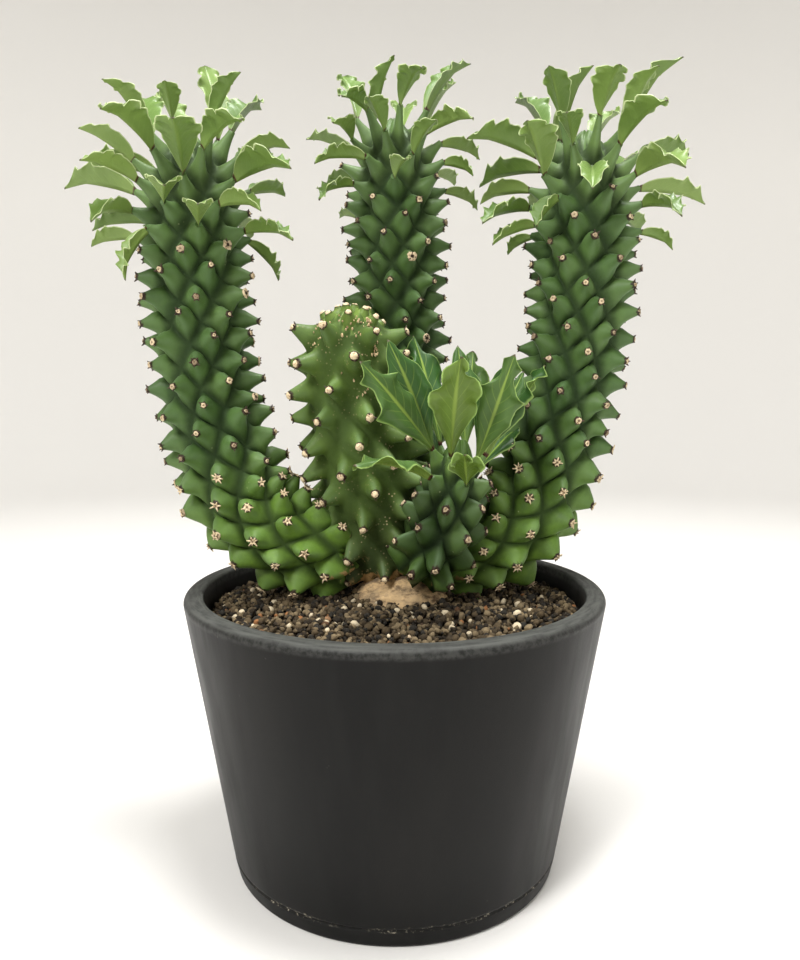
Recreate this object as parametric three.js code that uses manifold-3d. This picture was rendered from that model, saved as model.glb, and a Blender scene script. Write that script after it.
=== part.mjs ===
// A potted euphorbia: a tapered round pot, gritty soil, a woody root crown, three tall knobbly stems
// that bend up from the soil, a thick old stem without leaves, and a short side shoot. Each tall stem
// and the shoot end in a rosette of folded leaves.
//
// Millimetres, +Z up. The origin is the centre of the pot's underside, and -Y is the front.

import * as THREE from "three";
import Module from "manifold-3d";

const wasm = await Module();
wasm.setup();

// ---- pot ----
const POT_HEIGHT = 100.5;
const RIM_RADIUS = 75;
const BASE_RADIUS = 58.8;
const WALL = 6.7;
const FLOOR_THICKNESS = 8;
const RIM_ROUNDING = 2.4;
const FOOT_BEVEL = 1.6;
const POT_FACETS = 56;
const DRAIN_HOLE_RADIUS = 5;
const DRAIN_HOLE_RING_RADIUS = 30;
const DRAIN_HOLE_COUNT = 3;

// ---- soil ----
const SOIL_DROP = 8;            // rim top down to the soil, measured at the pot wall
const SOIL_MOUND = 3.5;         // how far the soil rises towards the middle
const CLEARANCE = 0.4;          // gap between solids that touch

// ---- root crown ----
const CROWN_WIDTH = 34;
const CROWN_DEPTH = 30;
const CROWN_HEIGHT = 24;
const ROOT_COUNT = 5;
const ROOT_TOP_RADIUS = 5.5;
const ROOT_END_RADIUS = 1.6;
const ROOT_FLOOR_GAP = 14;      // soil left under the root ends

// ---- stems and their knobs ----
const STEM_RADIUS = 12.4;       // the upright part, between the knobs
const STEM_FOOT_RADIUS = 13.5;  // the swollen part that lies on the soil
const OLD_STEM_RADIUS = 15.2;
const SHOOT_RADIUS = 9;
const KNOB_LENGTH = 7.6;        // from the hollows out to the leaf scar
const SCAR_WIDTH = 2.4;         // the flat end of a knob, where a leaf sits or sat

// ---- leaves ----
const LEAF_THICKNESS = 1.5;
const LEAF_FOLD = THREE.MathUtils.degToRad(32);   // each half rises this much from the midrib
const LEAF_CURL = 0.16;                           // how far the tip falls back, per unit of length
const STALK_SHARE = 0.17;                         // width of the stalk, per unit of leaf width

// Worked out from the sizes above.
const SOIL_EDGE = POT_HEIGHT - SOIL_DROP;
const SOIL_TOP = SOIL_EDGE + SOIL_MOUND;
const WALL_SLOPE = (RIM_RADIUS - BASE_RADIUS) / POT_HEIGHT;
const MOUTH_RADIUS = RIM_RADIUS - WALL;
const potInside = (z) => BASE_RADIUS - WALL + WALL_SLOPE * z;

// The side shoot stands between the old stem and the right stem, whose middles are given here as
// shares of the mouth radius. Its leaves are sized to the room between those stems' knob ends.
const OLD_STEM_ACROSS = -0.22;
const RIGHT_STEM_ACROSS = 0.87;
const OLD_STEM_FLANK = OLD_STEM_ACROSS * MOUTH_RADIUS + OLD_STEM_RADIUS + KNOB_LENGTH;
const SHOOT_ROOM = RIGHT_STEM_ACROSS * MOUTH_RADIUS - STEM_RADIUS - KNOB_LENGTH - OLD_STEM_FLANK;

const FRONT = new THREE.Vector3(0, -1, 0);
const UP = new THREE.Vector3(0, 0, 1);

// ---- mesh helpers ----

// Collects points and outward-facing triangles, and gives them back as a closed geometry.
class Skin {
  constructor() {
    this.points = [];
    this.faces = [];
  }
  point(place) {
    this.points.push(place.x, place.y, place.z);
    return this.points.length / 3 - 1;
  }
  triangle(a, b, c) {
    this.faces.push(a, b, c);
  }
  quad(a, b, c, d) {
    this.faces.push(a, b, c, a, c, d);
  }
  geometry() {
    return closedGeometry(new Float32Array(this.points), this.faces);
  }
}

function closedGeometry(positions, faces) {
  const geometry = new THREE.BufferGeometry();
  geometry.setAttribute("position", new THREE.BufferAttribute(positions, 3));
  geometry.setIndex(faces);
  return geometry;
}

// Joins the points of a three.js geometry that share a place, and drops the triangles this flattens.
function toSolid(geometry) {
  const places = geometry.getAttribute("position");
  const index = geometry.getIndex();
  const numbers = new Map();
  const points = [];
  const renumbered = [];
  for (let i = 0; i < places.count; i++) {
    const place = [places.getX(i), places.getY(i), places.getZ(i)];
    const key = place.map((value) => Math.round(value * 1e4)).join();
    if (!numbers.has(key)) {
      numbers.set(key, points.length / 3);
      points.push(...place);
    }
    renumbered.push(numbers.get(key));
  }
  const faces = [];
  for (let i = 0; i < index.count; i += 3) {
    const [a, b, c] = [0, 1, 2].map((corner) => renumbered[index.getX(i + corner)]);
    if (a !== b && b !== c && c !== a) {
      faces.push(a, b, c);
    }
  }
  const mesh = { numProp: 3, vertProperties: new Float32Array(points), triVerts: new Uint32Array(faces) };
  return new wasm.Manifold(new wasm.Mesh(mesh));
}

function toGeometry(solid) {
  const mesh = solid.getMesh();
  return closedGeometry(mesh.vertProperties, Array.from(mesh.triVerts));
}

// A cut can leave loose crumbs beside the body: this is the body alone.
function largestBody(solid) {
  const bodies = solid.decompose();
  return bodies.reduce((best, body) => (body.volume() > best.volume() ? body : best));
}

// ---- pot and soil ----

// Turns a profile of [radius, height] pairs, from the axis round to the axis, about Z.
function turned(profile) {
  const outline = profile.map(([radius, height]) => new THREE.Vector2(radius, height));
  return new THREE.LatheGeometry(outline, POT_FACETS).rotateX(Math.PI / 2);
}

function potProfile() {
  const profile = [[0, 0], [BASE_RADIUS - FOOT_BEVEL, 0], [BASE_RADIUS, FOOT_BEVEL]];
  const shoulder = POT_HEIGHT - RIM_ROUNDING;
  const steps = 3;
  for (let step = 0; step <= steps; step++) {
    const angle = (step / steps) * (Math.PI / 2);
    const radius = RIM_RADIUS - RIM_ROUNDING * (1 - Math.cos(angle));
    profile.push([radius, shoulder + RIM_ROUNDING * Math.sin(angle)]);
  }
  const edge = WALL / 6;
  profile.push([MOUTH_RADIUS + edge, POT_HEIGHT], [MOUTH_RADIUS, POT_HEIGHT - edge]);
  profile.push([potInside(FLOOR_THICKNESS), FLOOR_THICKNESS], [0, FLOOR_THICKNESS]);
  return profile;
}

function pot() {
  let solid = toSolid(turned(potProfile()));
  for (let hole = 0; hole < DRAIN_HOLE_COUNT; hole++) {
    const angle = (hole / DRAIN_HOLE_COUNT) * 2 * Math.PI;
    const drill = new THREE.CylinderGeometry(DRAIN_HOLE_RADIUS, DRAIN_HOLE_RADIUS, 3 * FLOOR_THICKNESS, 16);
    drill.rotateX(Math.PI / 2);
    drill.translate(DRAIN_HOLE_RING_RADIUS * Math.cos(angle), DRAIN_HOLE_RING_RADIUS * Math.sin(angle), 0);
    solid = solid.subtract(toSolid(drill));
  }
  return solid;
}

function soil(cutters) {
  const low = FLOOR_THICKNESS + CLEARANCE;
  const reach = (height) => potInside(height) - CLEARANCE;
  const profile = [[0, low], [reach(low), low], [reach(SOIL_EDGE), SOIL_EDGE]];
  const rings = 4;
  for (let ring = rings - 1; ring > 0; ring--) {
    const share = ring / rings;
    const rise = SOIL_MOUND * Math.cos(share * Math.PI / 2);
    profile.push([share * potInside(SOIL_EDGE), SOIL_EDGE + rise]);
  }
  profile.push([0, SOIL_TOP]);
  let solid = toSolid(turned(profile));
  for (const cutter of cutters) {
    solid = solid.subtract(cutter);
  }
  return largestBody(solid);
}

// ---- root crown ----

function taperedRod(curve, startRadius, endRadius, sides, steps) {
  const skin = new Skin();
  const rings = [];
  const frames = curve.computeFrenetFrames(steps);
  for (let step = 0; step <= steps; step++) {
    const centre = curve.getPointAt(step / steps);
    const radius = THREE.MathUtils.lerp(startRadius, endRadius, step / steps);
    const ring = [];
    for (let side = 0; side < sides; side++) {
      const angle = (side / sides) * 2 * Math.PI;
      const place = centre.clone();
      place.addScaledVector(frames.normals[step], radius * Math.cos(angle));
      place.addScaledVector(frames.binormals[step], radius * Math.sin(angle));
      ring.push(skin.point(place));
    }
    rings.push(ring);
  }
  const start = skin.point(curve.getPointAt(0));
  const end = skin.point(curve.getPointAt(1));
  for (let side = 0; side < sides; side++) {
    const next = (side + 1) % sides;
    skin.triangle(start, rings[0][next], rings[0][side]);
    skin.triangle(end, rings[steps][side], rings[steps][next]);
    for (let step = 0; step < steps; step++) {
      skin.quad(rings[step][side], rings[step][next], rings[step + 1][next], rings[step + 1][side]);
    }
  }
  return skin.geometry();
}

// The woody base that all the stems grow from, with thick roots that spread down through the soil.
function rootCrown(grow) {
  const middle = new THREE.Vector3(0.03 * MOUTH_RADIUS, 0.06 * MOUTH_RADIUS, SOIL_TOP - CROWN_HEIGHT * 0.18);
  const lump = new THREE.SphereGeometry(1, 14, 10).rotateX(Math.PI / 2);
  lump.scale(CROWN_WIDTH / 2 + grow, CROWN_DEPTH / 2 + grow, CROWN_HEIGHT / 2 + grow);
  lump.translate(middle.x, middle.y, middle.z);
  let solid = toSolid(lump);
  const rootEnd = FLOOR_THICKNESS + ROOT_FLOOR_GAP;
  const reach = potInside(rootEnd) - 2 * ROOT_TOP_RADIUS;
  for (let root = 0; root < ROOT_COUNT; root++) {
    const angle = (root / ROOT_COUNT) * 2 * Math.PI + 0.4;
    const spread = reach * (0.55 + 0.3 * Math.abs(Math.sin(2 * root)));
    const outward = new THREE.Vector3(Math.cos(angle), Math.sin(angle), 0);
    const bend = middle.clone().addScaledVector(outward, spread * 0.6);
    bend.z = THREE.MathUtils.lerp(middle.z, rootEnd, 0.45);
    const end = new THREE.Vector3(outward.x * spread, outward.y * spread, rootEnd);
    const route = new THREE.QuadraticBezierCurve3(middle, bend, end);
    const rod = taperedRod(route, ROOT_TOP_RADIUS + grow, ROOT_END_RADIUS + grow, 6, 5);
    solid = solid.add(toSolid(rod));
  }
  return solid;
}

// ---- stems ----

// A point of a stem's route: across and back as shares of the pot's mouth radius, which keeps the
// stems clear of the rim, and up from where a stem lies on the soil.
const at = (across, back, up) =>
  new THREE.Vector3(across * MOUTH_RADIUS, back * MOUTH_RADIUS, SOIL_TOP + STEM_FOOT_RADIUS + up);

// A point of the side shoot's route: millimetres to the right of the old stem's knob ends, then back
// and up as above.
function besideOldStem(gap, back, up) {
  const place = at(0, back, up);
  place.x = OLD_STEM_FLANK + gap;
  return place;
}

// Reads a smooth value from [share of length, value] pairs.
function along(pairs, share) {
  let lower = pairs[0];
  for (const pair of pairs) {
    if (pair[0] > share) {
      return THREE.MathUtils.mapLinear(share, lower[0], pair[0], lower[1], pair[1]);
    }
    lower = pair;
  }
  return lower[1];
}

// The outline of a tall stem: thick where it lies on the soil, even above, narrowing at the tip.
const TALL_OUTLINE = [
  [0, STEM_FOOT_RADIUS * 0.8], [0.12, STEM_FOOT_RADIUS], [0.34, STEM_RADIUS * 1.06], [0.5, STEM_RADIUS],
  [0.88, STEM_RADIUS], [0.95, STEM_RADIUS * 0.8], [1, STEM_RADIUS * 0.35],
];

// Knobs are short at the foot of a stem. In the last stretch below a leafy tip, given in
// millimetres down from it, they lengthen and lean up.
const KNOB_SETTLE = [[0, 0.85], [0.3, 1]];
const KNOB_GROWTH = [[0, 1.8], [10, 1.35], [26, 1.05], [120, 1]];
const KNOB_LEAN = [[0, 1.3], [12, 0.75], [25, 0.35], [53, 0.12], [150, 0.05]];
const BARE_LEAN = 0.1;

const STEMS = {
  stem_left: {
    route: [
      at(-0.2, 0.06, 0), at(-0.46, 0.04, 5), at(-0.64, 0.04, 10), at(-0.8, 0.04, 20), at(-0.88, 0.04, 33),
      at(-0.93, 0.04, 45), at(-0.98, 0.04, 56), at(-1.01, 0.04, 78), at(-1.03, 0.04, 104),
      at(-1.04, 0.04, 128), at(-1.05, 0.04, 147),
    ],
    outline: TALL_OUTLINE, rows: 23, around: 7, twist: 0.1, turn: 0.35, leafy: true,
  },
  stem_right: {
    route: [
      at(0.2, 0.12, -3), at(0.4, 0.13, 2), at(0.59, 0.14, 8), at(0.74, 0.15, 19), at(0.83, 0.16, 34),
      at(RIGHT_STEM_ACROSS, 0.17, 48), at(0.93, 0.18, 62), at(0.99, 0.2, 82), at(1.01, 0.22, 109),
      at(1.02, 0.24, 133), at(1.02, 0.25, 152),
    ],
    outline: TALL_OUTLINE, rows: 23, around: 7, twist: -0.1, turn: 0.1, leafy: true,
  },
  stem_back: {
    route: [
      at(0.02, 0.26, -8), at(0.02, 0.46, 2), at(0.02, 0.6, 20), at(0.02, 0.65, 45), at(0.01, 0.66, 86),
      at(0.01, 0.66, 118), at(0, 0.66, 145), at(-0.01, 0.66, 165),
    ],
    outline: TALL_OUTLINE, rows: 24, around: 7, twist: 0.08, turn: 0, leafy: true,
  },
  old_stem: {
    route: [
      at(0, 0.12, -9), at(-0.09, 0.07, 14), at(-0.17, 0.04, 40), at(OLD_STEM_ACROSS, 0.01, 62),
      at(-0.23, 0, 79), at(-0.215, 0, 87),
    ],
    outline: [
      [0, OLD_STEM_RADIUS * 0.82], [0.3, OLD_STEM_RADIUS], [0.8, OLD_STEM_RADIUS],
      [0.93, OLD_STEM_RADIUS * 0.75], [1, OLD_STEM_RADIUS * 0.42],
    ],
    rows: 11, around: 7, twist: 0.09, turn: 0.2, leafy: false,
  },
  side_shoot: {
    route: [
      besideOldStem(1.105, -0.06, -6), besideOldStem(5.886, -0.13, 6), besideOldStem(9.984, -0.2, 18),
      besideOldStem(14.082, -0.25, 42),
    ],
    outline: [
      [0, SHOOT_RADIUS * 0.9], [0.4, SHOOT_RADIUS], [0.8, SHOOT_RADIUS * 0.8], [1, SHOOT_RADIUS * 0.45],
    ],
    rows: 7, around: 6, twist: 0.1, turn: 0.25, leafy: true,
  },
};

// A stem's centre line and the two directions across it, at a share of its length.
function stemFrame(stem, share) {
  stem.curve ??= new THREE.CatmullRomCurve3(stem.route, false, "catmullrom", 0.5);
  const tangent = stem.curve.getTangentAt(share);
  const front = FRONT.clone().addScaledVector(tangent, -FRONT.dot(tangent)).normalize();
  const right = new THREE.Vector3().crossVectors(tangent, front);
  return { centre: stem.curve.getPointAt(share), tangent, front, right };
}

// The rows of knobs lie a little closer together towards the tip.
function rowShare(stem, row) {
  const even = row / stem.rows;
  return even * (1.15 - 0.15 * even);
}

const step = (stem) => (2 * Math.PI) / stem.around;
const rowTurn = (stem, row) => stem.turn + stem.twist * row;
const knobAngle = (stem, row, knob) => (knob + 0.5 * (row % 2)) * step(stem) + rowTurn(stem, row);

// The hollows between knobs: each row's hollows lie halfway between its knobs.
function hollowAngle(stem, row, hollow) {
  return (hollow + 0.5 * ((row + 1) % 2)) * step(stem) + rowTurn(stem, row);
}

const acrossStem = (frame, angle) =>
  frame.right.clone().multiplyScalar(Math.cos(angle)).addScaledVector(frame.front, Math.sin(angle));

// The middle of a knob's flat end, and the directions around it.
function knobEnd(stem, row, knob) {
  const share = rowShare(stem, row);
  const frame = stemFrame(stem, share);
  const angle = knobAngle(stem, row, knob);
  const outward = acrossStem(frame, angle);
  const toTip = (1 - share) * stem.curve.getLength();
  const growth = stem.leafy ? along(KNOB_GROWTH, toTip) : 1;
  const length = KNOB_LENGTH * growth * along(KNOB_SETTLE, share);
  const lean = stem.leafy ? along(KNOB_LEAN, toTip) : BARE_LEAN;
  const rise = length * Math.sin(lean);
  const reach = along(stem.outline, share) + length * Math.cos(lean);
  const centre = frame.centre.clone().addScaledVector(outward, reach).addScaledVector(frame.tangent, rise);
  const side = acrossStem(frame, angle + Math.PI / 2);
  const upper = frame.tangent.clone().multiplyScalar(Math.cos(lean));
  upper.addScaledVector(outward, -Math.sin(lean));
  return { centre, outward, side, upper };
}

// A stem's skin is a net of diamonds, each drawn out into a knob with a small flat end.
function stemSolid(stem, grow) {
  const skin = new Skin();
  const hollows = [];
  for (let row = 0; row <= stem.rows; row++) {
    const share = rowShare(stem, row);
    const frame = stemFrame(stem, share);
    const radius = along(stem.outline, share) + grow;
    const ring = [];
    for (let hollow = 0; hollow < stem.around; hollow++) {
      const outward = acrossStem(frame, hollowAngle(stem, row, hollow));
      ring.push(skin.point(frame.centre.clone().addScaledVector(outward, radius)));
    }
    hollows.push(ring);
  }
  const foot = stemFrame(stem, 0);
  const head = stemFrame(stem, 1);
  const bottom = skin.point(foot.centre.addScaledVector(foot.tangent, -grow));
  const top = skin.point(head.centre.addScaledVector(head.tangent, KNOB_LENGTH / 2 + grow));
  for (let row = 1; row < stem.rows; row++) {
    const odd = row % 2;
    for (let knob = 0; knob < stem.around; knob++) {
      const before = (knob + stem.around - 1) % stem.around;
      const after = (knob + 1) % stem.around;
      const low = hollows[row - 1][knob];
      const high = hollows[row + 1][knob];
      const first = hollows[row][odd ? knob : before];
      const last = hollows[row][odd ? after : knob];
      const end = knobEnd(stem, row, knob);
      const centre = end.centre.clone().addScaledVector(end.outward, grow);
      const half = SCAR_WIDTH / 2 + grow;
      const corner = (direction, amount) => skin.point(centre.clone().addScaledVector(direction, amount));
      const base = [low, first, high, last];
      const tip = [
        corner(end.upper, -half), corner(end.side, -half), corner(end.upper, half), corner(end.side, half),
      ];
      for (let k = 0; k < 4; k++) {
        const next = (k + 1) % 4;
        skin.quad(base[k], base[next], tip[next], tip[k]);
      }
      skin.quad(...tip);
      if (row === 1) {
        skin.triangle(first, low, bottom);
        skin.triangle(low, last, bottom);
      }
      if (row === stem.rows - 1) {
        skin.triangle(high, first, top);
        skin.triangle(last, high, top);
      }
    }
  }
  return toSolid(skin.geometry());
}

// ---- leaves ----

// Each leaf: its knob's row, counted down from the tip, and number round the stem; then its bearing in
// degrees from the right round past the front, its rise in degrees, its length and its width. The
// last two are in millimetres, or in the unit given.
const LEAVES = {
  left: {
    stem: STEMS.stem_left,
    blades: [
      [1, 3, 240, 84, 30, 11], [1, 4, 290, 48, 25, 12], [1, 1, 235, 59, 25, 12], [1, 2, 215, 66, 25, 10],
      [2, 5, 45, 23, 22, 11], [2, 6, 105, 23, 26, 12], [2, 1, 180, 13, 26, 14], [2, 3, 300, 38, 22, 11],
      [2, 2, 265, 34, 22, 12], [3, 1, 185, 18, 25, 14], [3, 6, 80, 37, 24, 14], [3, 5, 30, 14, 24, 15],
      [4, 1, 180, 2, 20, 10], [5, 5, 30, 0, 20, 9], [5, 4, 345, -40, 17, 8], [5, 0, 140, -50, 19, 8],
    ],
  },
  right: {
    stem: STEMS.stem_right,
    blades: [
      [1, 0, 5, 79, 30, 13], [1, 6, 245, 55, 24, 12], [1, 2, 25, 65, 31, 12], [1, 1, 315, 52, 22, 11],
      [1, 4, 80, 45, 20, 11], [2, 3, 75, 24, 27, 12], [2, 5, 175, 24, 26, 14], [2, 0, 260, 45, 24, 12],
      [2, 6, 210, 5, 25, 13], [2, 2, 335, 20, 24, 11], [3, 5, 125, 53, 21, 14], [3, 3, 70, 4, 28, 14],
      [3, 2, 350, 1, 26, 11], [4, 5, 145, -8, 23, 11], [4, 2, 65, -7, 20, 10],
    ],
  },
  back: {
    stem: STEMS.stem_back,
    blades: [
      [1, 1, 240, 68, 25, 10], [1, 2, 20, 81, 28, 9], [1, 4, 315, 61, 24, 10], [1, 5, 330, 60, 28, 11],
      [1, 6, 75, 24, 25, 9], [1, 0, 115, 6, 22, 9], [1, 3, 270, 50, 24, 10], [2, 2, 200, 29, 21, 9],
      [2, 6, 40, 13, 22, 10], [2, 5, 330, 2, 19, 9], [3, 0, 155, -1, 21, 9], [4, 1, 130, -12, 21, 8],
      [4, 5, 335, -8, 16, 8],
    ],
  },
  shoot: {
    stem: STEMS.side_shoot,
    unit: SHOOT_ROOM,
    blades: [
      [1, 0, 60, 58, 1.0428, 0.4108], [1, 1, 90, 58, 1.0428, 0.4424],
      [1, 2, 130, 42, 1.2007, 0.4424], [1, 3, 245, 66, 1.2007, 0.4108],
      [1, 4, 285, 58, 1.1375, 0.3792], [1, 5, 5, 58, 0.9796, 0.4424],
      [2, 1, 135, 24, 0.8848, 0.4740], [2, 0, 95, 40, 0.4424, 0.2844],
    ],
  },
};

// Widths along a leaf, as [share of length, share of width]: narrow stalk, broad end, short point.
const LEAF_OUTLINE = [[0.1, STALK_SHARE], [0.34, 0.42], [0.6, 0.86], [0.8, 1], [0.93, 0.6]];

function leafBlade(stem, [rowsDown, knob, bearingDegrees, riseDegrees, length, width]) {
  const bearing = THREE.MathUtils.degToRad(bearingDegrees);
  const rise = THREE.MathUtils.degToRad(riseDegrees);
  const seat = knobEnd(stem, stem.rows - rowsDown, knob).centre;
  const outward = new THREE.Vector3(Math.cos(bearing), -Math.sin(bearing), 0);
  const forward = outward.clone().multiplyScalar(Math.cos(rise)).addScaledVector(UP, Math.sin(rise));
  const facing = UP.clone().multiplyScalar(Math.cos(rise)).addScaledVector(outward, -Math.sin(rise));
  const side = new THREE.Vector3().crossVectors(forward, facing);
  const midrib = (share) =>
    seat.clone().addScaledVector(forward, CLEARANCE + share * length)
      .addScaledVector(facing, -LEAF_CURL * share * share * length);
  const skin = new Skin();
  const start = skin.point(midrib(0));
  const end = skin.point(midrib(1));
  const rings = LEAF_OUTLINE.map(([share, widthShare]) => {
    const centre = midrib(share);
    const reach = (width / 2) * widthShare;
    const margin = (sign) =>
      centre.clone().addScaledVector(side, sign * reach * Math.cos(LEAF_FOLD))
        .addScaledVector(facing, reach * Math.sin(LEAF_FOLD));
    const half = LEAF_THICKNESS / 2;
    return [
      skin.point(margin(-1)), skin.point(centre.clone().addScaledVector(facing, half)),
      skin.point(margin(1)), skin.point(centre.clone().addScaledVector(facing, -half)),
    ];
  });
  const last = rings.length - 1;
  for (let k = 0; k < 4; k++) {
    const next = (k + 1) % 4;
    skin.triangle(start, rings[0][next], rings[0][k]);
    skin.triangle(end, rings[last][k], rings[last][next]);
    for (let ring = 0; ring < last; ring++) {
      skin.quad(rings[ring][k], rings[ring][next], rings[ring + 1][next], rings[ring + 1][k]);
    }
  }
  return skin.geometry();
}

// ---- materials ----
const matter = (color, roughness) => new THREE.MeshStandardMaterial({ color, roughness, metalness: 0 });
const charcoal = matter(0x2c2d2b, 0.55);
const grit = matter(0x6b5b45, 0.95);
const cork = matter(0xa98a5f, 0.9);
const stemGreen = matter(0x3c6a35, 0.5);
const oldGreen = matter(0x5d7a3c, 0.6);
const leafGreen = matter(0x6f9a4a, 0.45);
const shootLeafGreen = matter(0x4f8a3c, 0.4);

// ---- assembly ----
const plant = new THREE.Group();

function addPiece(name, geometry, material) {
  const mesh = new THREE.Mesh(geometry, material);
  mesh.name = name;
  plant.add(mesh);
}

// Where two stems meet near the crown, the later one is cut back from the earlier.
const standing = ["old_stem", "stem_left", "stem_right", "side_shoot", "stem_back"];
const grown = standing.map((name) => stemSolid(STEMS[name], CLEARANCE));
standing.forEach((name, place) => {
  let solid = stemSolid(STEMS[name], 0);
  for (const earlier of grown.slice(0, place)) {
    solid = solid.subtract(earlier);
  }
  addPiece(name, toGeometry(largestBody(solid)), name === "old_stem" ? oldGreen : stemGreen);
});

let crown = rootCrown(0);
for (const stem of grown) {
  crown = crown.subtract(stem);
}
addPiece("root_crown", toGeometry(largestBody(crown)), cork);
addPiece("potting_soil", toGeometry(soil([rootCrown(CLEARANCE), ...grown])), grit);
addPiece("pot", toGeometry(pot()), charcoal);

for (const [place, { stem, unit = 1, blades }] of Object.entries(LEAVES)) {
  blades.forEach(([rowsDown, knob, bearing, rise, length, width], number) => {
    const blade = [rowsDown, knob, bearing, rise, length * unit, width * unit];
    const name = `leaf_${place}_${String(number + 1).padStart(2, "0")}`;
    addPiece(name, leafBlade(stem, blade), place === "shoot" ? shootLeafGreen : leafGreen);
  });
}

export default plant;
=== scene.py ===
"""The looks of a potted euphorbia: a charcoal pot, loose grit, a woody root crown, three tall knobbly
stems, a thick old stem and a short side shoot with folded, crisped leaves.

Lengths are in millimetres until a mesh is made. The origin is the centre of the pot's underside, +Z is
up and -Y is the front.
"""

import math

import bmesh
import bpy
import numpy as np
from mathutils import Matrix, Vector, noise


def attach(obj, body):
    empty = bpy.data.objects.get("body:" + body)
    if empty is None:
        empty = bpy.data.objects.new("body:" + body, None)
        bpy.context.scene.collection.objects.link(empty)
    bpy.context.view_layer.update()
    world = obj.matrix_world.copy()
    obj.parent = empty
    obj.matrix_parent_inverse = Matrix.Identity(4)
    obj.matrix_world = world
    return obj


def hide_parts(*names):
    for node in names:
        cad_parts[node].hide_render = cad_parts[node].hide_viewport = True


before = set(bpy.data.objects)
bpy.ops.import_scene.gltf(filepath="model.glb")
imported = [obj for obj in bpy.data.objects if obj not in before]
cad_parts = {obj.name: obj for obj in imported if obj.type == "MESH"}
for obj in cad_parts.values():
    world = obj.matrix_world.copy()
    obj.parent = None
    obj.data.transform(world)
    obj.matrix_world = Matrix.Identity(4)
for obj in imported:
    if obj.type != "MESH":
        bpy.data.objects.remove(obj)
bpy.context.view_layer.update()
scene = bpy.context.scene

MM = 0.001
rng = np.random.default_rng(705)

# ---- sizes shared with the CAD model ----
POT_HEIGHT = 100.5
RIM_RADIUS = 75.0
BASE_RADIUS = 58.8
WALL = 6.7
FLOOR_THICKNESS = 8.0
RIM_ROUNDING = 2.4
FOOT_BEVEL = 1.6
DRAIN_HOLE_RADIUS = 5.0
DRAIN_HOLE_RING_RADIUS = 30.0
DRAIN_HOLE_COUNT = 3
SOIL_DROP = 8.0
SOIL_MOUND = 3.5
CLEARANCE = 0.4
PIN_RADIUS = 0.01        # a ring this small is welded into one point
STEM_RADIUS = 12.4
STEM_FOOT_RADIUS = 13.5
OLD_STEM_RADIUS = 15.2
SHOOT_RADIUS = 9.0
KNOB_LENGTH = 7.6
LEAF_CURL = 0.16

SOIL_EDGE = POT_HEIGHT - SOIL_DROP
SOIL_TOP = SOIL_EDGE + SOIL_MOUND
WALL_SLOPE = (RIM_RADIUS - BASE_RADIUS) / POT_HEIGHT
MOUTH_RADIUS = RIM_RADIUS - WALL

UP = np.array([0.0, 0.0, 1.0])
FRONT = np.array([0.0, -1.0, 0.0])


def pot_inside(height):
    """The inside radius of the pot at a height."""
    return BASE_RADIUS - WALL + WALL_SLOPE * height


def smooth(low, high, value):
    """0 below low, 1 above high and an S-shaped rise between; low may be the larger."""
    share = np.clip((value - low) / (high - low), 0.0, 1.0)
    return share * share * (3 - 2 * share)


def unit(vector):
    """The vector at a length of one."""
    return vector / np.linalg.norm(vector)


def wobble(place, scale, seed=0.0):
    """Smooth noise from -1 to 1 at a place."""
    return noise.noise(Vector((place[0] * scale + seed, place[1] * scale - seed, place[2] * scale)))


# ---------------------------------------------------------------- node materials


class Tree:
    """Short names for adding nodes to a material or a group."""

    def __init__(self, tree):
        self.tree = tree

    def node(self, kind, inputs=None, **settings):
        made = self.tree.nodes.new(kind)
        for name, value in settings.items():
            setattr(made, name, value)
        for name, value in (inputs or {}).items():
            self.put(made.inputs[name], value)
        return made

    def put(self, socket, value):
        if isinstance(value, bpy.types.NodeSocket):
            self.tree.links.new(value, socket)
        else:
            socket.default_value = value

    def field(self, name):
        return self.node("ShaderNodeAttribute", attribute_name=name).outputs["Fac"]

    def place(self):
        return self.node("ShaderNodeTexCoord").outputs["Object"]

    def split(self, vector):
        return self.node("ShaderNodeSeparateXYZ", {"Vector": vector}).outputs

    def join(self, x, y, z):
        return self.node("ShaderNodeCombineXYZ", {"X": x, "Y": y, "Z": z}).outputs[0]

    def noise(self, vector, feature, detail=3.0, roughness=0.55):
        """Noise from 0 to 1 with features of this many millimetres."""
        inputs = {"Vector": vector, "Scale": 1000.0 / feature, "Detail": detail, "Roughness": roughness}
        return self.node("ShaderNodeTexNoise", inputs).outputs[0]

    def cells(self, vector, feature):
        """Distances from the middles of cells of this many millimetres."""
        inputs = {"Vector": vector, "Scale": 1000.0 / feature}
        return self.node("ShaderNodeTexVoronoi", inputs).outputs["Distance"]

    def ramp(self, value, low, high, start=0.0, end=1.0):
        """An S-shaped rise from start at low to end at high; low may be the larger."""
        inputs = {"Value": value, "From Min": low, "From Max": high, "To Min": start, "To Max": end}
        return self.node("ShaderNodeMapRange", inputs, interpolation_type="SMOOTHSTEP").outputs[0]

    def maths(self, operation, first, second=0.5):
        made = self.node("ShaderNodeMath", operation=operation)
        self.put(made.inputs[0], first)
        self.put(made.inputs[1], second)
        return made.outputs[0]

    def mix(self, factor, first, second):
        """The first colour, going over to the second as the factor grows."""
        made = self.node("ShaderNodeMix", data_type="RGBA")
        self.put(made.inputs[0], factor)
        self.put(made.inputs[6], first)
        self.put(made.inputs[7], second)
        return made.outputs[2]

    def bump(self, height, strength, distance):
        inputs = {"Height": height, "Strength": strength, "Distance": distance * MM}
        return self.node("ShaderNodeBump", inputs).outputs[0]

    def use(self, group, inputs):
        made = self.node("ShaderNodeGroup", node_tree=group)
        for name, value in inputs.items():
            self.put(made.inputs[name], value)
        return made.outputs


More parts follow.
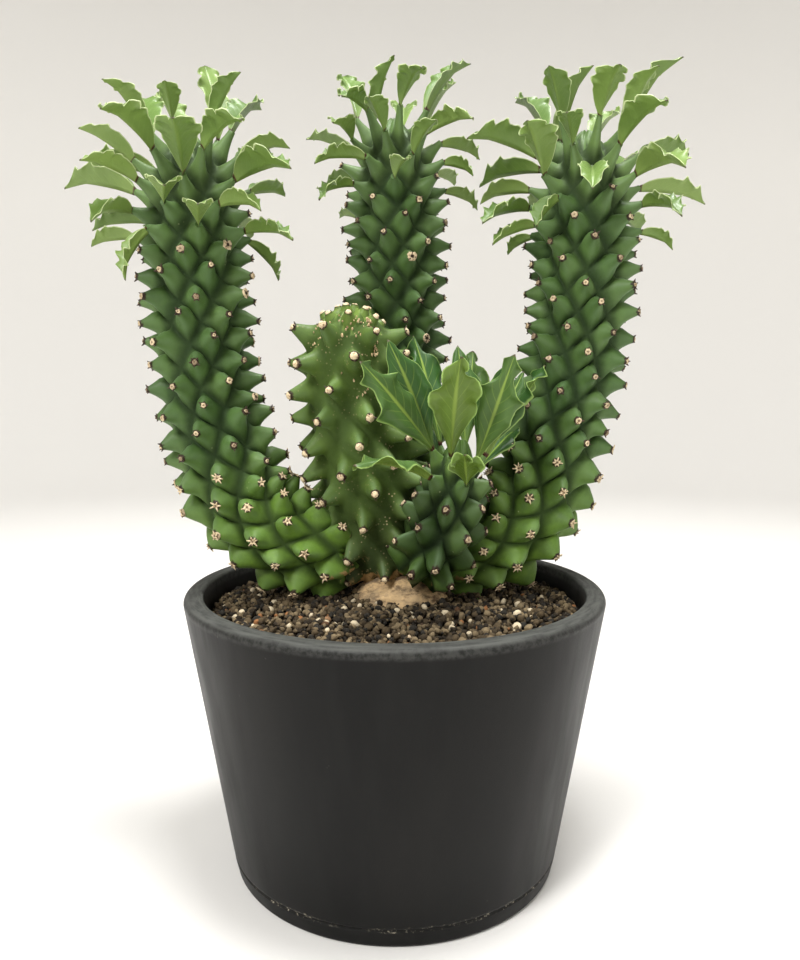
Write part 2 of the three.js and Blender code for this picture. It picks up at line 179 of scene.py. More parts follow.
def colour(red, green, blue):
    """A colour given as it looks on a screen, 0 to 255, as linear values for a shader."""
    linear = []
    for value in (red, green, blue):
        share = value / 255
        linear.append(share / 12.92 if share <= 0.04045 else ((share + 0.055) / 1.055) ** 2.4)
    return (*linear, 1.0)


# Colours that all the stems share, then the scars' hollows, then those that all the leaves share.
DEEP_GREEN = colour(24, 46, 22)
LIGHT_GREEN = colour(108, 134, 72)
# Painted highlight: the greyish sheen that the ridges are lightened to.
RIDGE_SHEEN_GREEN = colour(120, 146, 112)
# Painted shade: the dark green that the creases between knobs are darkened to.
CREASE_SHADE_GREEN = colour(12, 26, 10)
COLLAR_BROWN = colour(44, 30, 18)
BARK_TAN = colour(158, 128, 84)
HOLLOW_BROWN = colour(70, 44, 24)
LEAF_SHADE = colour(40, 70, 28)
LEAF_LIME = colour(164, 186, 104)
STALK_RED = colour(74, 42, 30)
DRY_TIP = colour(74, 66, 44)


def make_group(name, inputs, outputs, build):
    """A node group: inputs are [name, socket kind, default], outputs are [name, socket kind]."""
    group = bpy.data.node_groups.new(name, "ShaderNodeTree")
    for label, kind, default in inputs:
        socket = group.interface.new_socket(label, in_out="INPUT", socket_type=kind)
        socket.default_value = default
    for label, kind in outputs:
        group.interface.new_socket(label, in_out="OUTPUT", socket_type=kind)
    tree = Tree(group)
    taken = tree.node("NodeGroupInput").outputs
    given = tree.node("NodeGroupOutput").inputs
    for label, value in build(tree, taken).items():
        tree.put(given[label], value)
    return group


def build_mottle(tree, taken):
    """Lighter and darker patches with fine grain in them."""
    place = tree.place()
    broad = tree.noise(place, 14.0, 4.0)
    fine = tree.noise(place, 1.6, 5.0, 0.65)
    amount = tree.maths("ADD", tree.maths("MULTIPLY", broad, 0.65), tree.maths("MULTIPLY", fine, 0.35))
    spread = tree.maths("MULTIPLY", tree.ramp(amount, 0.38, 0.62), taken["Amount"])
    return {"Colour": tree.mix(spread, taken["Colour"], taken["Second"])}


def build_specks(tree, taken):
    """Small round specks in scattered patches."""
    place = tree.place()
    spots = tree.cells(place, 1.5)
    where = tree.noise(place, 7.0, 3.0)
    small = tree.ramp(spots, 0.26, 0.14)
    patch_start = tree.maths("SUBTRACT", 0.72, tree.maths("MULTIPLY", taken["Share"], 0.4))
    patch = tree.ramp(where, patch_start, 0.8)
    mask = tree.maths("MULTIPLY", small, patch)
    return {"Colour": tree.mix(mask, taken["Colour"], taken["Speck"])}


MOTTLE = make_group(
    "mottle",
    [
        ["Colour", "NodeSocketColor", (0.5, 0.5, 0.5, 1)],
        ["Second", "NodeSocketColor", (0.2, 0.2, 0.2, 1)],
        ["Amount", "NodeSocketFloat", 1.0],
    ],
    [["Colour", "NodeSocketColor"]],
    build_mottle,
)
SPECKS = make_group(
    "specks",
    [
        ["Colour", "NodeSocketColor", (0.5, 0.5, 0.5, 1)],
        ["Speck", "NodeSocketColor", (0.8, 0.8, 0.8, 1)],
        ["Share", "NodeSocketFloat", 0.5],
    ],
    [["Colour", "NodeSocketColor"]],
    build_specks,
)


def make_material(name, build, **constants):
    """A principled material. build returns the linked sockets; constants stay on the shader's sockets."""
    material = bpy.data.materials.new(name)
    material.use_nodes = True
    tree = Tree(material.node_tree)
    shader = material.node_tree.nodes["Principled BSDF"]
    for socket, value in build(tree).items():
        tree.put(shader.inputs[socket], value)
    for socket, value in constants.items():
        shader.inputs[socket.replace("_", " ")].default_value = value
    return material


def stem_skin(foot, middle, crown, speck, speck_share, bark, shade):
    """Green skin: painted shade in the creases, brighter flanks, a painted greyish sheen on the ridges and
    a dark collar at each knob's end.

    foot, middle and crown are the greens up the stem. speck_share and bark set how much of it is
    specked and how far up it is corky, and shade is how dark the painted shade in the creases is.
    """

    def build(tree):
        tip = tree.field("tip")
        age = tree.field("age")
        young = tree.field("young")
        tone = tree.field("tone")
        green = tree.mix(tree.ramp(age, 0.12, 0.45), foot, middle)
        green = tree.mix(tree.ramp(young, 0.2, 1.0), green, crown)
        woody = tree.ramp(tree.noise(tree.place(), 5.0, 5.0, 0.7), 0.4, 0.6, 0.0, 0.12)
        aged = tree.ramp(tree.maths("ADD", age, woody), bark, bark * 0.5)
        darker = tree.mix(0.55, green, DEEP_GREEN)
        green = tree.use(MOTTLE, {"Colour": green, "Second": darker, "Amount": 0.5})["Colour"]
        green = tree.mix(tree.maths("MULTIPLY", tone, 0.3), green, LIGHT_GREEN)
        # Painted highlight: a greyish sheen lightens the ridges towards each knob's end.
        sheen = tree.maths("MULTIPLY", tree.field("ridge"), tree.ramp(tip, 0.12, 0.6))
        green = tree.mix(tree.maths("MULTIPLY", sheen, 0.22), green, RIDGE_SHEEN_GREEN)
        # Painted shade: the creases between knobs are darkened towards the crease shade green, and made
        # rougher.
        crease_shade_mask = tree.ramp(tip, 0.36, 0.0)
        green = tree.mix(tree.maths("MULTIPLY", crease_shade_mask, shade), green, CREASE_SHADE_GREEN)
        green = tree.use(SPECKS, {"Colour": green, "Speck": speck, "Share": speck_share})["Colour"]
        ragged = tree.maths("ADD", tip, tree.ramp(tree.noise(tree.place(), 1.2), 0.3, 0.7, -0.05, 0.05))
        collar = tree.maths("MULTIPLY", tree.ramp(ragged, 0.88, 0.97), tree.field("collar"))
        green = tree.mix(collar, green, COLLAR_BROWN)
        green = tree.mix(aged, green, BARK_TAN)
        grain = tree.noise(tree.place(), 0.9, 4.0, 0.6)
        matt = tree.ramp(grain, 0.3, 0.7, 0.42, 0.6)
        return {
            "Base Color": green,
            "Roughness": tree.maths("ADD", matt, tree.maths("MULTIPLY", crease_shade_mask, 0.4)),
            "Normal": tree.bump(grain, 0.25, 0.25),
        }

    return build


def scar_look(pale, dark):
    """A dry corky stub: pale with darker flecks, and brown in its hollow."""

    def build(tree):
        grain = tree.noise(tree.place(), 0.8, 4.0, 0.7)
        tinted = tree.mix(tree.ramp(grain, 0.48, 0.68), pale, dark)
        tinted = tree.mix(tree.field("hollow"), tinted, HOLLOW_BROWN)
        return {"Base Color": tinted, "Normal": tree.bump(grain, 0.5, 0.3)}

    return build


def leaf_look(upper, lower, margin, vein, midrib):
    """A folded leaf: pale crisped margin, pale midrib and side veins, lighter underside, reddish foot.

    midrib is how strongly the midrib and the side veins show.
    """

    def build(tree):
        edge = tree.field("edge")
        along_leaf = tree.field("along")
        under = tree.field("under")
        tone = tree.field("tone")
        green = tree.mix(tree.maths("MULTIPLY", under, 0.75), upper, lower)
        darker = tree.mix(0.5, green, LEAF_SHADE)
        green = tree.use(MOTTLE, {"Colour": green, "Second": darker, "Amount": 0.35})["Colour"]
        green = tree.mix(tree.maths("MULTIPLY", tone, 0.35 - 0.2 * midrib), green, LEAF_LIME)
        back_slope = tree.maths("MULTIPLY", edge, 2.2)
        slant = tree.maths("SUBTRACT", tree.maths("MULTIPLY", along_leaf, 9.0), back_slope)
        wave = tree.maths("PINGPONG", slant, 0.5)
        veins = tree.maths("MULTIPLY", tree.ramp(wave, 0.1, 0.0), tree.ramp(edge, 0.9, 0.4))
        green = tree.mix(tree.maths("MULTIPLY", veins, 0.35 * midrib), green, vein)
        green = tree.mix(tree.ramp(edge, 0.13, 0.02, 0.0, midrib), green, vein)
        green = tree.mix(tree.ramp(edge, 0.93, 0.995, 0.0, 0.85), green, margin)
        stalk = tree.ramp(along_leaf, 0.3, 0.06, 0.0, 0.3)
        green = tree.mix(stalk, green, vein)
        green = tree.mix(tree.ramp(along_leaf, 0.05, 0.025), green, STALK_RED)
        green = tree.mix(tree.ramp(along_leaf, 0.975, 0.995), green, DRY_TIP)
        grain = tree.noise(tree.place(), 0.7, 3.0, 0.6)
        height = tree.maths("SUBTRACT", grain, tree.maths("MULTIPLY", veins, 0.7))
        return {
            "Base Color": green,
            "Roughness": tree.ramp(grain, 0.3, 0.7, 0.34, 0.5),
            "Normal": tree.bump(height, 0.25, 0.3),
        }

    return build


# The pot's body, its rim and the marks on it.
CHARCOAL = colour(9, 9, 8)
CHARCOAL_STREAK = colour(16, 16, 15)
CHARCOAL_BROWN = colour(22, 21, 19)
RIM_DARK = colour(46, 46, 44)
RIM_PALE = colour(76, 77, 73)
WORN_EDGE = colour(74, 75, 72)
MINERAL = colour(176, 168, 150)
POT_SPECK = colour(120, 120, 114)


def pot_look(tree):
    """Charcoal with soft upright streaks, a greyer worn rim and mineral marks near the foot."""
    place = tree.place()
    x, y, z = tree.split(place)
    high = tree.maths("MULTIPLY", z, 1000.0)
    streaks = tree.noise(tree.join(x, y, tree.maths("MULTIPLY", z, 0.09)), 7.0, 5.0, 0.6)
    broad = tree.noise(tree.join(x, y, tree.maths("MULTIPLY", z, 0.4)), 38.0, 2.0)
    base = tree.mix(tree.ramp(streaks, 0.35, 0.7), CHARCOAL, CHARCOAL_STREAK)
    base = tree.mix(tree.ramp(broad, 0.35, 0.7, 0.0, 0.5), base, CHARCOAL_BROWN)
    squares = tree.maths("ADD", tree.maths("MULTIPLY", x, x), tree.maths("MULTIPLY", y, y))
    radius = tree.maths("MULTIPLY", tree.maths("SQRT", squares), 6.0)
    turned = tree.noise(tree.join(radius, tree.maths("MULTIPLY", x, 0.25), y), 6.0, 4.0)
    rim = tree.ramp(high, POT_HEIGHT - 1.5, POT_HEIGHT - 0.3)
    rim_top = tree.mix(tree.ramp(turned, 0.35, 0.65), RIM_DARK, RIM_PALE)
    base = tree.mix(rim, base, rim_top)
    flecks = tree.ramp(tree.noise(place, 1.8, 5.0, 0.7), 0.35, 0.65, 0.1, 0.5)
    worn = tree.maths("MULTIPLY", tree.ramp(high, POT_HEIGHT - 4.0, POT_HEIGHT - 2.2), flecks)
    base = tree.mix(worn, base, WORN_EDGE)
    line = tree.maths("MULTIPLY", tree.ramp(high, 5.4, 6.2), tree.ramp(high, 8.2, 7.0))
    crumbs = tree.ramp(tree.noise(place, 1.6, 5.0, 0.75), 0.55, 0.66)
    mineral = tree.maths("MULTIPLY", line, tree.maths("MULTIPLY", crumbs, tree.ramp(broad, 0.35, 0.5)))
    base = tree.mix(tree.maths("MULTIPLY", mineral, 0.85), base, MINERAL)
    base = tree.use(SPECKS, {"Colour": base, "Speck": POT_SPECK, "Share": 0.12})["Colour"]
    grain = tree.noise(place, 0.6, 4.0, 0.6)
    matt = tree.ramp(streaks, 0.3, 0.75, 0.38, 0.5)
    return {
        "Base Color": base,
        "Roughness": tree.maths("ADD", matt, tree.maths("MULTIPLY", rim, 0.2)),
        "Normal": tree.bump(tree.maths("ADD", grain, tree.maths("MULTIPLY", mineral, 2.0)), 0.2, 0.15),
    }


# The grit and the soil. Each grain's tone picks its colour, from the damp darkest to the pale few.
GRAIN_DARK = colour(34, 28, 21)
GRAIN_BROWN = colour(80, 67, 48)
GRAIN_TAN = colour(124, 108, 82)
GRAIN_SLATE = colour(40, 37, 32)
GRAIN_RUST = colour(140, 96, 60)
GRAIN_CREAM = colour(206, 190, 160)
GRAIN_SHADE = colour(30, 26, 20)
SOIL_DARK = colour(18, 14, 11)
SOIL_BROWN = colour(52, 43, 32)


def grain_look(tree):
    """Loose mineral grains: mostly browns, some dark, a few cream or rusty."""
    tone = tree.field("tone")
    body = tree.mix(tree.ramp(tone, 0.0, 0.4), GRAIN_DARK, GRAIN_BROWN)
    body = tree.mix(tree.ramp(tone, 0.4, 0.78), body, GRAIN_TAN)
    body = tree.mix(tree.ramp(tone, 0.8, 0.81), body, GRAIN_SLATE)
    body = tree.mix(tree.ramp(tone, 0.955, 0.96), body, GRAIN_RUST)
    body = tree.mix(tree.ramp(tone, 0.97, 0.975), body, GRAIN_CREAM)
    darker = tree.mix(0.6, body, GRAIN_SHADE)
    body = tree.use(MOTTLE, {"Colour": body, "Second": darker, "Amount": 0.6})["Colour"]
    grain = tree.noise(tree.place(), 0.5, 4.0, 0.7)
    return {"Base Color": body, "Normal": tree.bump(grain, 0.6, 0.25)}


def bed_look(tree):
    """The damp fine soil seen between the grains."""
    grain = tree.noise(tree.place(), 1.2, 5.0, 0.7)
    body = tree.mix(tree.ramp(grain, 0.35, 0.65), SOIL_DARK, SOIL_BROWN)
    return {"Base Color": body, "Normal": tree.bump(grain, 0.8, 0.8)}


CORK_CREVICE_AND_SHADE = colour(82, 60, 38)
CORK_PLATE_AND_HIGHLIGHT = colour(204, 172, 126)
CORK_GREY = colour(132, 116, 92)


def cork_look(tree):
    """Tan woody bark with flaking grey-brown plates, dark crevices that carry painted shade and pale plates
    that carry a painted highlight.
    """
    place = tree.place()
    x, y, z = tree.split(place)
    plates = tree.noise(tree.join(x, y, tree.maths("MULTIPLY", z, 2.2)), 6.0, 6.0, 0.7)
    # Partly real bark, partly painted light: the crevices are darkened with painted shade and the plates
    # lightened with a painted highlight.
    body = tree.mix(tree.ramp(plates, 0.38, 0.6), CORK_CREVICE_AND_SHADE, CORK_PLATE_AND_HIGHLIGHT)
    body = tree.use(MOTTLE, {"Colour": body, "Second": CORK_GREY, "Amount": 0.55})["Colour"]
    return {"Base Color": body, "Normal": tree.bump(plates, 0.9, 1.0)}


stem_material = make_material(
    "stem_green",
    stem_skin(
        foot=colour(98, 130, 42), middle=colour(66, 94, 42), crown=colour(88, 112, 58),
        speck=colour(150, 160, 116), speck_share=0.18, bark=0.02, shade=0.78,
    ),
    Coat_Weight=0.03, Coat_Roughness=0.35, Specular_IOR_Level=0.25,
)
# Painted shade: a darker copy of the stem skin, with darker creases, for the shoot that stands in the
# shadow of the leaves and stems over it.
shaded_shoot_material = make_material(
    "shoot_stem_green_shaded",
    stem_skin(
        foot=colour(66, 94, 32), middle=colour(46, 68, 26), crown=colour(74, 100, 38),
        speck=colour(150, 160, 116), speck_share=0.18, bark=0.02, shade=0.85,
    ),
    Coat_Weight=0.02, Coat_Roughness=0.35, Specular_IOR_Level=0.2,
)
old_material = make_material(
    "old_stem_green",
    stem_skin(
        foot=colour(56, 64, 26), middle=colour(80, 102, 38), crown=colour(116, 138, 60),
        speck=colour(176, 158, 118), speck_share=0.7, bark=0.16, shade=0.5,
    ),
    Coat_Weight=0.02, Coat_Roughness=0.4, Specular_IOR_Level=0.2,
)
scar_material = make_material("scar", scar_look(colour(216, 196, 160), colour(120, 82, 48)), Roughness=0.85)
spine_material = make_material("spine", scar_look(colour(62, 42, 28), colour(16, 12, 9)), Roughness=0.6)
dried_material = make_material(
    "dried_bits", scar_look(colour(206, 182, 140), colour(150, 110, 66)), Roughness=0.9,
)
leaf_material = make_material(
    "leaf",
    leaf_look(
        upper=colour(88, 116, 50), lower=colour(104, 130, 58), margin=colour(190, 202, 150),
        vein=colour(136, 156, 84), midrib=0.3,
    ),
    Coat_Weight=0.08, Coat_Roughness=0.35, Specular_IOR_Level=0.35,
)
shoot_leaf_material = make_material(
    "shoot_leaf",
    leaf_look(
        upper=colour(44, 78, 30), lower=colour(84, 108, 28), margin=colour(140, 166, 92),
        vein=colour(128, 150, 66), midrib=0.9,
    ),
    Coat_Weight=0.05, Coat_Roughness=0.25, Specular_IOR_Level=0.22,
)
pot_material = make_material("pot_charcoal", pot_look, Specular_IOR_Level=0.13)
grain_material = make_material("grit_grain", grain_look, Roughness=0.9, Specular_IOR_Level=0.2)
bed_material = make_material("soil_bed", bed_look, Roughness=0.95, Specular_IOR_Level=0.1)
cork_material = make_material("cork", cork_look, Roughness=0.9)
floor_material = make_material("floor", lambda tree: {}, Base_Color=colour(236, 234, 230), Roughness=0.9)

# ---------------------------------------------------------------- mesh helpers


def turns(count):
    """Angles all round a circle in even steps."""
    return np.arange(count) / count * 2 * math.pi


def circle_points(count, first, second):
    """Directions all round a circle, from first towards second."""
    turn = turns(count)
    return np.outer(np.cos(turn), first) + np.outer(np.sin(turn), second)


def quarter_round(steps):
    """Pairs of sine and cosine over a quarter turn."""
    angles = [part * math.pi / 2 for part in np.linspace(0, 1, steps)]
    return [(math.sin(angle), math.cos(angle)) for angle in angles]


class Builder:
    """Collects points, faces and per-point fields, and makes one piece from them."""

    def __init__(self, *fields):
        self.points = []
        self.faces = []
        self.count = 0
        self.fields = {field: [] for field in fields}

    def add(self, points, faces, **values):
        points = np.asarray(points, float).reshape(-1, 3)
        for face in faces:
            self.faces.append([corner + self.count for corner in face])
        self.points.append(points)
        self.count += len(points)
        for field, stored in self.fields.items():
            stored.append(np.broadcast_to(np.asarray(values.get(field, 0.0), float), (len(points),)))

    def piece(self, name, material, weld=False):
        """Makes the mesh and puts it in the scene; weld joins points that coincide."""
        mesh = bpy.data.meshes.new(name)
        places = np.concatenate(self.points) * MM
        mesh.from_pydata(places.tolist(), [], self.faces)
        for field, stored in self.fields.items():
            layer = mesh.attributes.new(field, "FLOAT", "POINT")
            layer.data.foreach_set("value", np.concatenate(stored).astype(np.float32))
        if weld:
            shape = bmesh.new()
            shape.from_mesh(mesh)
            bmesh.ops.remove_doubles(shape, verts=shape.verts, dist=0.02 * MM)
            shape.to_mesh(mesh)
            shape.free()
        mesh.polygons.foreach_set("use_smooth", [True] * len(mesh.polygons))
        mesh.materials.append(material)
        made = bpy.data.objects.new(name, mesh)
        scene.collection.objects.link(made)
        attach(made, "root")
        return made


def grid_faces(rows, columns, closed=False):
    """Quads over a grid of rows by columns of points; closed joins the last column to the first."""
    faces = []
    across = columns if closed else columns - 1
    for row in range(rows - 1):
        for column in range(across):
            after = (column + 1) % columns
            here = row * columns
            faces.append([here + column, here + after, here + columns + after, here + columns + column])
    return faces


def fan_faces(first, count, tip):
    """Triangles that close a ring of points, from first on, to the point tip."""
    return [[first + index, first + (index + 1) % count, tip] for index in range(count)]


def add_rod(builder, start, end, start_radius, end_radius, sides=5, bend=None, **values):
    """A tapering rod, bent sideways in the middle by the vector bend."""
    axis = unit(end - start)
    first = unit(np.cross(axis, UP if abs(axis[2]) < 0.9 else FRONT))
    second = np.cross(axis, first)
    circle = circle_points(sides, first, second)
    rings = []
    for share in (0.0, 0.5, 1.0):
        centre = start + (end - start) * share
        if bend is not None:
            centre = centre + bend * math.sin(math.pi * share)
        radius = start_radius + (end_radius - start_radius) * share
        rings.append(centre + radius * circle)
    points = np.concatenate(rings)
    faces = grid_faces(3, sides, closed=True)
    faces.append(list(range(sides))[::-1])
    faces.append([2 * sides + side for side in range(sides)])
    builder.add(points, faces, **values)


# ---------------------------------------------------------------- stems


def at(across, back, up):
    """A point from shares of the mouth's radius and a height over a stem's seat in the soil."""
    return np.array([across * MOUTH_RADIUS, back * MOUTH_RADIUS, SOIL_TOP + STEM_FOOT_RADIUS + up])


def along(pairs, share):
    """Reads values from [share, value] pairs."""
    shares, values = zip(*pairs)
    return np.interp(share, shares, values)


# Radii up a tall stem, between its knobs, as [share of its length, radius].
TALL_OUTLINE = [
    [0, STEM_FOOT_RADIUS * 0.8], [0.12, STEM_FOOT_RADIUS], [0.34, STEM_RADIUS * 1.06], [0.5, STEM_RADIUS],
    [0.88, STEM_RADIUS], [0.95, STEM_RADIUS * 0.8], [1, STEM_RADIUS * 0.35],
]

# How much a knob grows, by its share of the stem; then growth, lean and rise by millimetres from the tip.
KNOB_SETTLE = [[0, 0.85], [0.3, 1]]
KNOB_GROWTH = [[0, 1.8], [10, 1.35], [26, 1.05], [120, 1]]
KNOB_LEAN = [[0, 1.3], [12, 0.75], [25, 0.35], [53, 0.12], [150, 0.05]]
BARE_LEAN = 0.1
EXTRA_LEAN = [[0, 0], [25, 0.0], [50, -0.1], [120, -0.12], [160, -0.05]]
KNOB_RAISE = [[0, 0], [25, 0.6], [45, 1.7], [140, 1.7], [170, 0.8]]
SHOOT_GROWTH = [[0, 0.75], [10, 0.7], [22, 0.85], [40, 1.0]]
OLD_GROWTH = [[0, 0.95], [8, 1.0], [60, 1.0], [100, 0.8]]
OLD_LEAN = [[0, 0.5], [12, 0.15], [30, -0.25], [80, -0.4]]
TABLE_STEPS = 600       # even steps along a stem's centre line
CURVE_STEPS = 40        # points between two points of its route


class Stem:
    """A stem's centre line with the directions across it, and the lattice of its knobs."""

    def __init__(
        self, name, points, outline, rows, around, twist, turn, growth=KNOB_GROWTH, leafy=True,
    ):
        self.name = name
        self.outline = outline
        self.rows = rows
        self.around = around
        self.twist = twist
        self.turn = turn
        self.growth = growth
        self.leafy = leafy
        self.tall = outline is TALL_OUTLINE
        self.step = 2 * math.pi / around
        line = self.smooth_line([at(*point) for point in points])
        lengths = np.concatenate([[0], np.cumsum(np.linalg.norm(np.diff(line, axis=0), axis=1))])
        self.length = lengths[-1]
        self.shares = np.linspace(0, 1, TABLE_STEPS + 1)
        even = self.shares * self.length
        self.centres = np.stack([np.interp(even, lengths, line[:, axis]) for axis in range(3)], axis=1)
        tangents = np.gradient(self.centres, axis=0)
        self.tangents = tangents / np.linalg.norm(tangents, axis=1, keepdims=True)

    @staticmethod
    def smooth_line(points):
        """A Catmull-Rom line through the points."""
        before = 2 * points[0] - points[1]
        after = 2 * points[-1] - points[-2]
        padded = [before, *points, after]
        line = []
        for first in range(1, len(padded) - 2):
            p0, p1, p2, p3 = padded[first - 1:first + 3]
            v0 = (p2 - p0) / 2
            v1 = (p3 - p1) / 2
            for w in np.arange(CURVE_STEPS) / CURVE_STEPS:
                cube = (2 * p1 - 2 * p2 + v0 + v1) * w ** 3
                square = (-3 * p1 + 3 * p2 - 2 * v0 - v1) * w ** 2
                line.append(cube + square + v0 * w + p1)
        line.append(padded[-2])
        return np.array(line)

    def to_tip(self, share):
        """Millimetres along the centre line from a share to the tip."""
        return (1 - share) * self.length

    def frame(self, share):
        """Centres, tangents, fronts and rights at an array of shares."""
        share = np.atleast_1d(share)
        centre = np.stack([np.interp(share, self.shares, self.centres[:, k]) for k in range(3)], axis=1)
        tangent = np.stack([np.interp(share, self.shares, self.tangents[:, k]) for k in range(3)], axis=1)
        tangent /= np.linalg.norm(tangent, axis=1, keepdims=True)
        front = FRONT - tangent * (tangent @ FRONT)[:, None]
        front /= np.linalg.norm(front, axis=1, keepdims=True)
        return centre, tangent, front, np.cross(tangent, front)

    def row_share(self, row):
        """The share of a row's middle; rows stand closer towards the tip."""
        even = row / self.rows
        return even * (1.15 - 0.15 * even)

    def knob_angle(self, row, knob):
        """A knob's angle round the stem; every other row is half a step on."""
        return (knob + 0.5 * (row % 2)) * self.step + self.turn + self.twist * row

    def surface(self, share, angle, rise=0.0):
        """Points on the skin in the hollows between knobs."""
        centre, tangent, front, right = self.frame(share)
        outward = right * np.cos(angle)[:, None] + front * np.sin(angle)[:, None]
        radius = along(self.outline, share) + rise
        return centre + outward * radius[:, None]

    def knob_end(self, row, knob, extra_lean=0.0, stretch=1.0, swing=0.0):
        """The base of a knob, the middle of its flat end, and the directions around that."""
        share = self.row_share(row)
        centre, tangent, front, right = (value[0] for value in self.frame(share))
        angle = self.knob_angle(row, knob) + swing
        outward = right * math.cos(angle) + front * math.sin(angle)
        to_tip = self.to_tip(share)
        growth = along(self.growth, to_tip)
        length = KNOB_LENGTH * growth * along(KNOB_SETTLE, share) * stretch
        lean = (along(KNOB_LEAN, to_tip) if self.leafy else BARE_LEAN) + extra_lean
        base = centre + outward * along(self.outline, share)
        axis = outward * math.cos(lean) + tangent * math.sin(lean)
        side = -right * math.sin(angle) + front * math.cos(angle)
        upper = tangent * math.cos(lean) - outward * math.sin(lean)
        return base, base + axis * length, axis, side, upper


STEMS = {
    "left": Stem(
        "stem_left",
        [
            (-0.2, 0.06, 0), (-0.46, 0.04, 5), (-0.64, 0.04, 10), (-0.8, 0.04, 20), (-0.88, 0.04, 33),
            (-0.93, 0.04, 45), (-0.98, 0.04, 56), (-1.01, 0.04, 78), (-1.03, 0.04, 104),
            (-1.04, 0.04, 128), (-1.05, 0.04, 147),
        ],
        TALL_OUTLINE, rows=23, around=7, twist=0.1, turn=0.35,
    ),
    "right": Stem(
        "stem_right",
        [
            (0.2, 0.12, -3), (0.4, 0.13, 2), (0.59, 0.14, 8), (0.74, 0.15, 19), (0.83, 0.16, 34),
            (0.87, 0.17, 48), (0.93, 0.18, 62), (0.99, 0.2, 82), (1.01, 0.22, 109), (1.02, 0.24, 133),
            (1.02, 0.25, 152),
        ],
        TALL_OUTLINE, rows=23, around=7, twist=-0.1, turn=0.1,
    ),
    "back": Stem(
        "stem_back",
        [
            (0.02, 0.26, -8), (0.02, 0.46, 2), (0.02, 0.6, 20), (0.02, 0.65, 45), (0.01, 0.66, 86),
            (0.01, 0.66, 118), (0, 0.66, 145), (-0.01, 0.66, 165),
        ],
        TALL_OUTLINE, rows=24, around=7, twist=0.08, turn=0.0,
    ),
    "old": Stem(
        "old_stem",
        [
            (0, 0.12, -9), (-0.09, 0.07, 14), (-0.17, 0.04, 40), (-0.22, 0.01, 62), (-0.23, 0, 79),
            (-0.215, 0, 87),
        ],
        [
            [0, OLD_STEM_RADIUS * 0.82], [0.3, OLD_STEM_RADIUS], [0.84, OLD_STEM_RADIUS],
            [0.93, OLD_STEM_RADIUS * 0.86], [1, OLD_STEM_RADIUS * 0.58],
        ],
        rows=11, around=7, twist=0.09, turn=0.2, growth=OLD_GROWTH, leafy=False,
    ),
    "shoot": Stem(
        "side_shoot",
        [(0.13, -0.06, -6), (0.2, -0.13, 6), (0.26, -0.2, 18), (0.32, -0.25, 42)],
        [[0, SHOOT_RADIUS * 0.9], [0.4, SHOOT_RADIUS], [0.8, SHOOT_RADIUS * 0.8], [1, SHOOT_RADIUS * 0.45]],
        rows=7, around=6, twist=0.1, turn=0.25, growth=SHOOT_GROWTH,
    ),
}

SIDE_STEPS = 6          # border points on each side of a knob's diamond
RING_SHARES = np.array([0.0, 0.07, 0.16, 0.28, 0.42, 0.56, 0.7, 0.82, 0.92, 1.0])
SCAR_RADIUS = 1.1
OLD_SCAR_RADIUS = 1.4
EDGE_RISE = 0.3         # the creases are this much shallower halfway along a diamond's side
SKIRT_FALL = 14.0       # how steeply a knob rises out of the skin around it
OVAL_SHARE = 0.78       # a knob's oval flank against the half diagonals of its diamond
KNOB_UNEVENNESS = 0.22


def knob_shape(stem, share):
    """A knob's form at a share of its stem.

    Returns how finger-like it is, how much of its diamond it fills and how fast it narrows to its end.
    """
    to_tip = stem.to_tip(share)
    if stem.name == "old_stem":
        return 0.0, 0.54, 1.0
    if stem.name == "side_shoot":
        finger = float(smooth(20, 6, to_tip))
        return finger, 0.94 - 0.35 * finger, 0.75 + 0.5 * finger
    plump = float(smooth(0.5, 0.25, share))
    finger = float(smooth(40, 10, to_tip))
    return finger, 0.94 - 0.2 * finger, 1.25 - 0.4 * plump + 0.3 * finger


def knob_border(stem, row, knob):
    """The diamond of creases round a knob: its points and their shares of the stem."""
    share = stem.row_share(row)
    angle = stem.knob_angle(row, knob)
    corner_shares = [stem.row_share(row - 1), share, stem.row_share(row + 1), share]
    corner_angles = [angle - stem.twist, angle - stem.step / 2, angle + stem.twist, angle + stem.step / 2]
    step = np.arange(SIDE_STEPS) / SIDE_STEPS
    border_share = []
    border_angle = []
    for corner in range(4):
        after = (corner + 1) % 4
        border_share.append(corner_shares[corner] + (corner_shares[after] - corner_shares[corner]) * step)
        border_angle.append(corner_angles[corner] + (corner_angles[after] - corner_angles[corner]) * step)
    border_share = np.concatenate(border_share)
    border_angle = np.concatenate(border_angle)
    rise = np.tile(EDGE_RISE * np.sin(math.pi * step), 4)
    return stem.surface(border_share, border_angle, rise), border_share


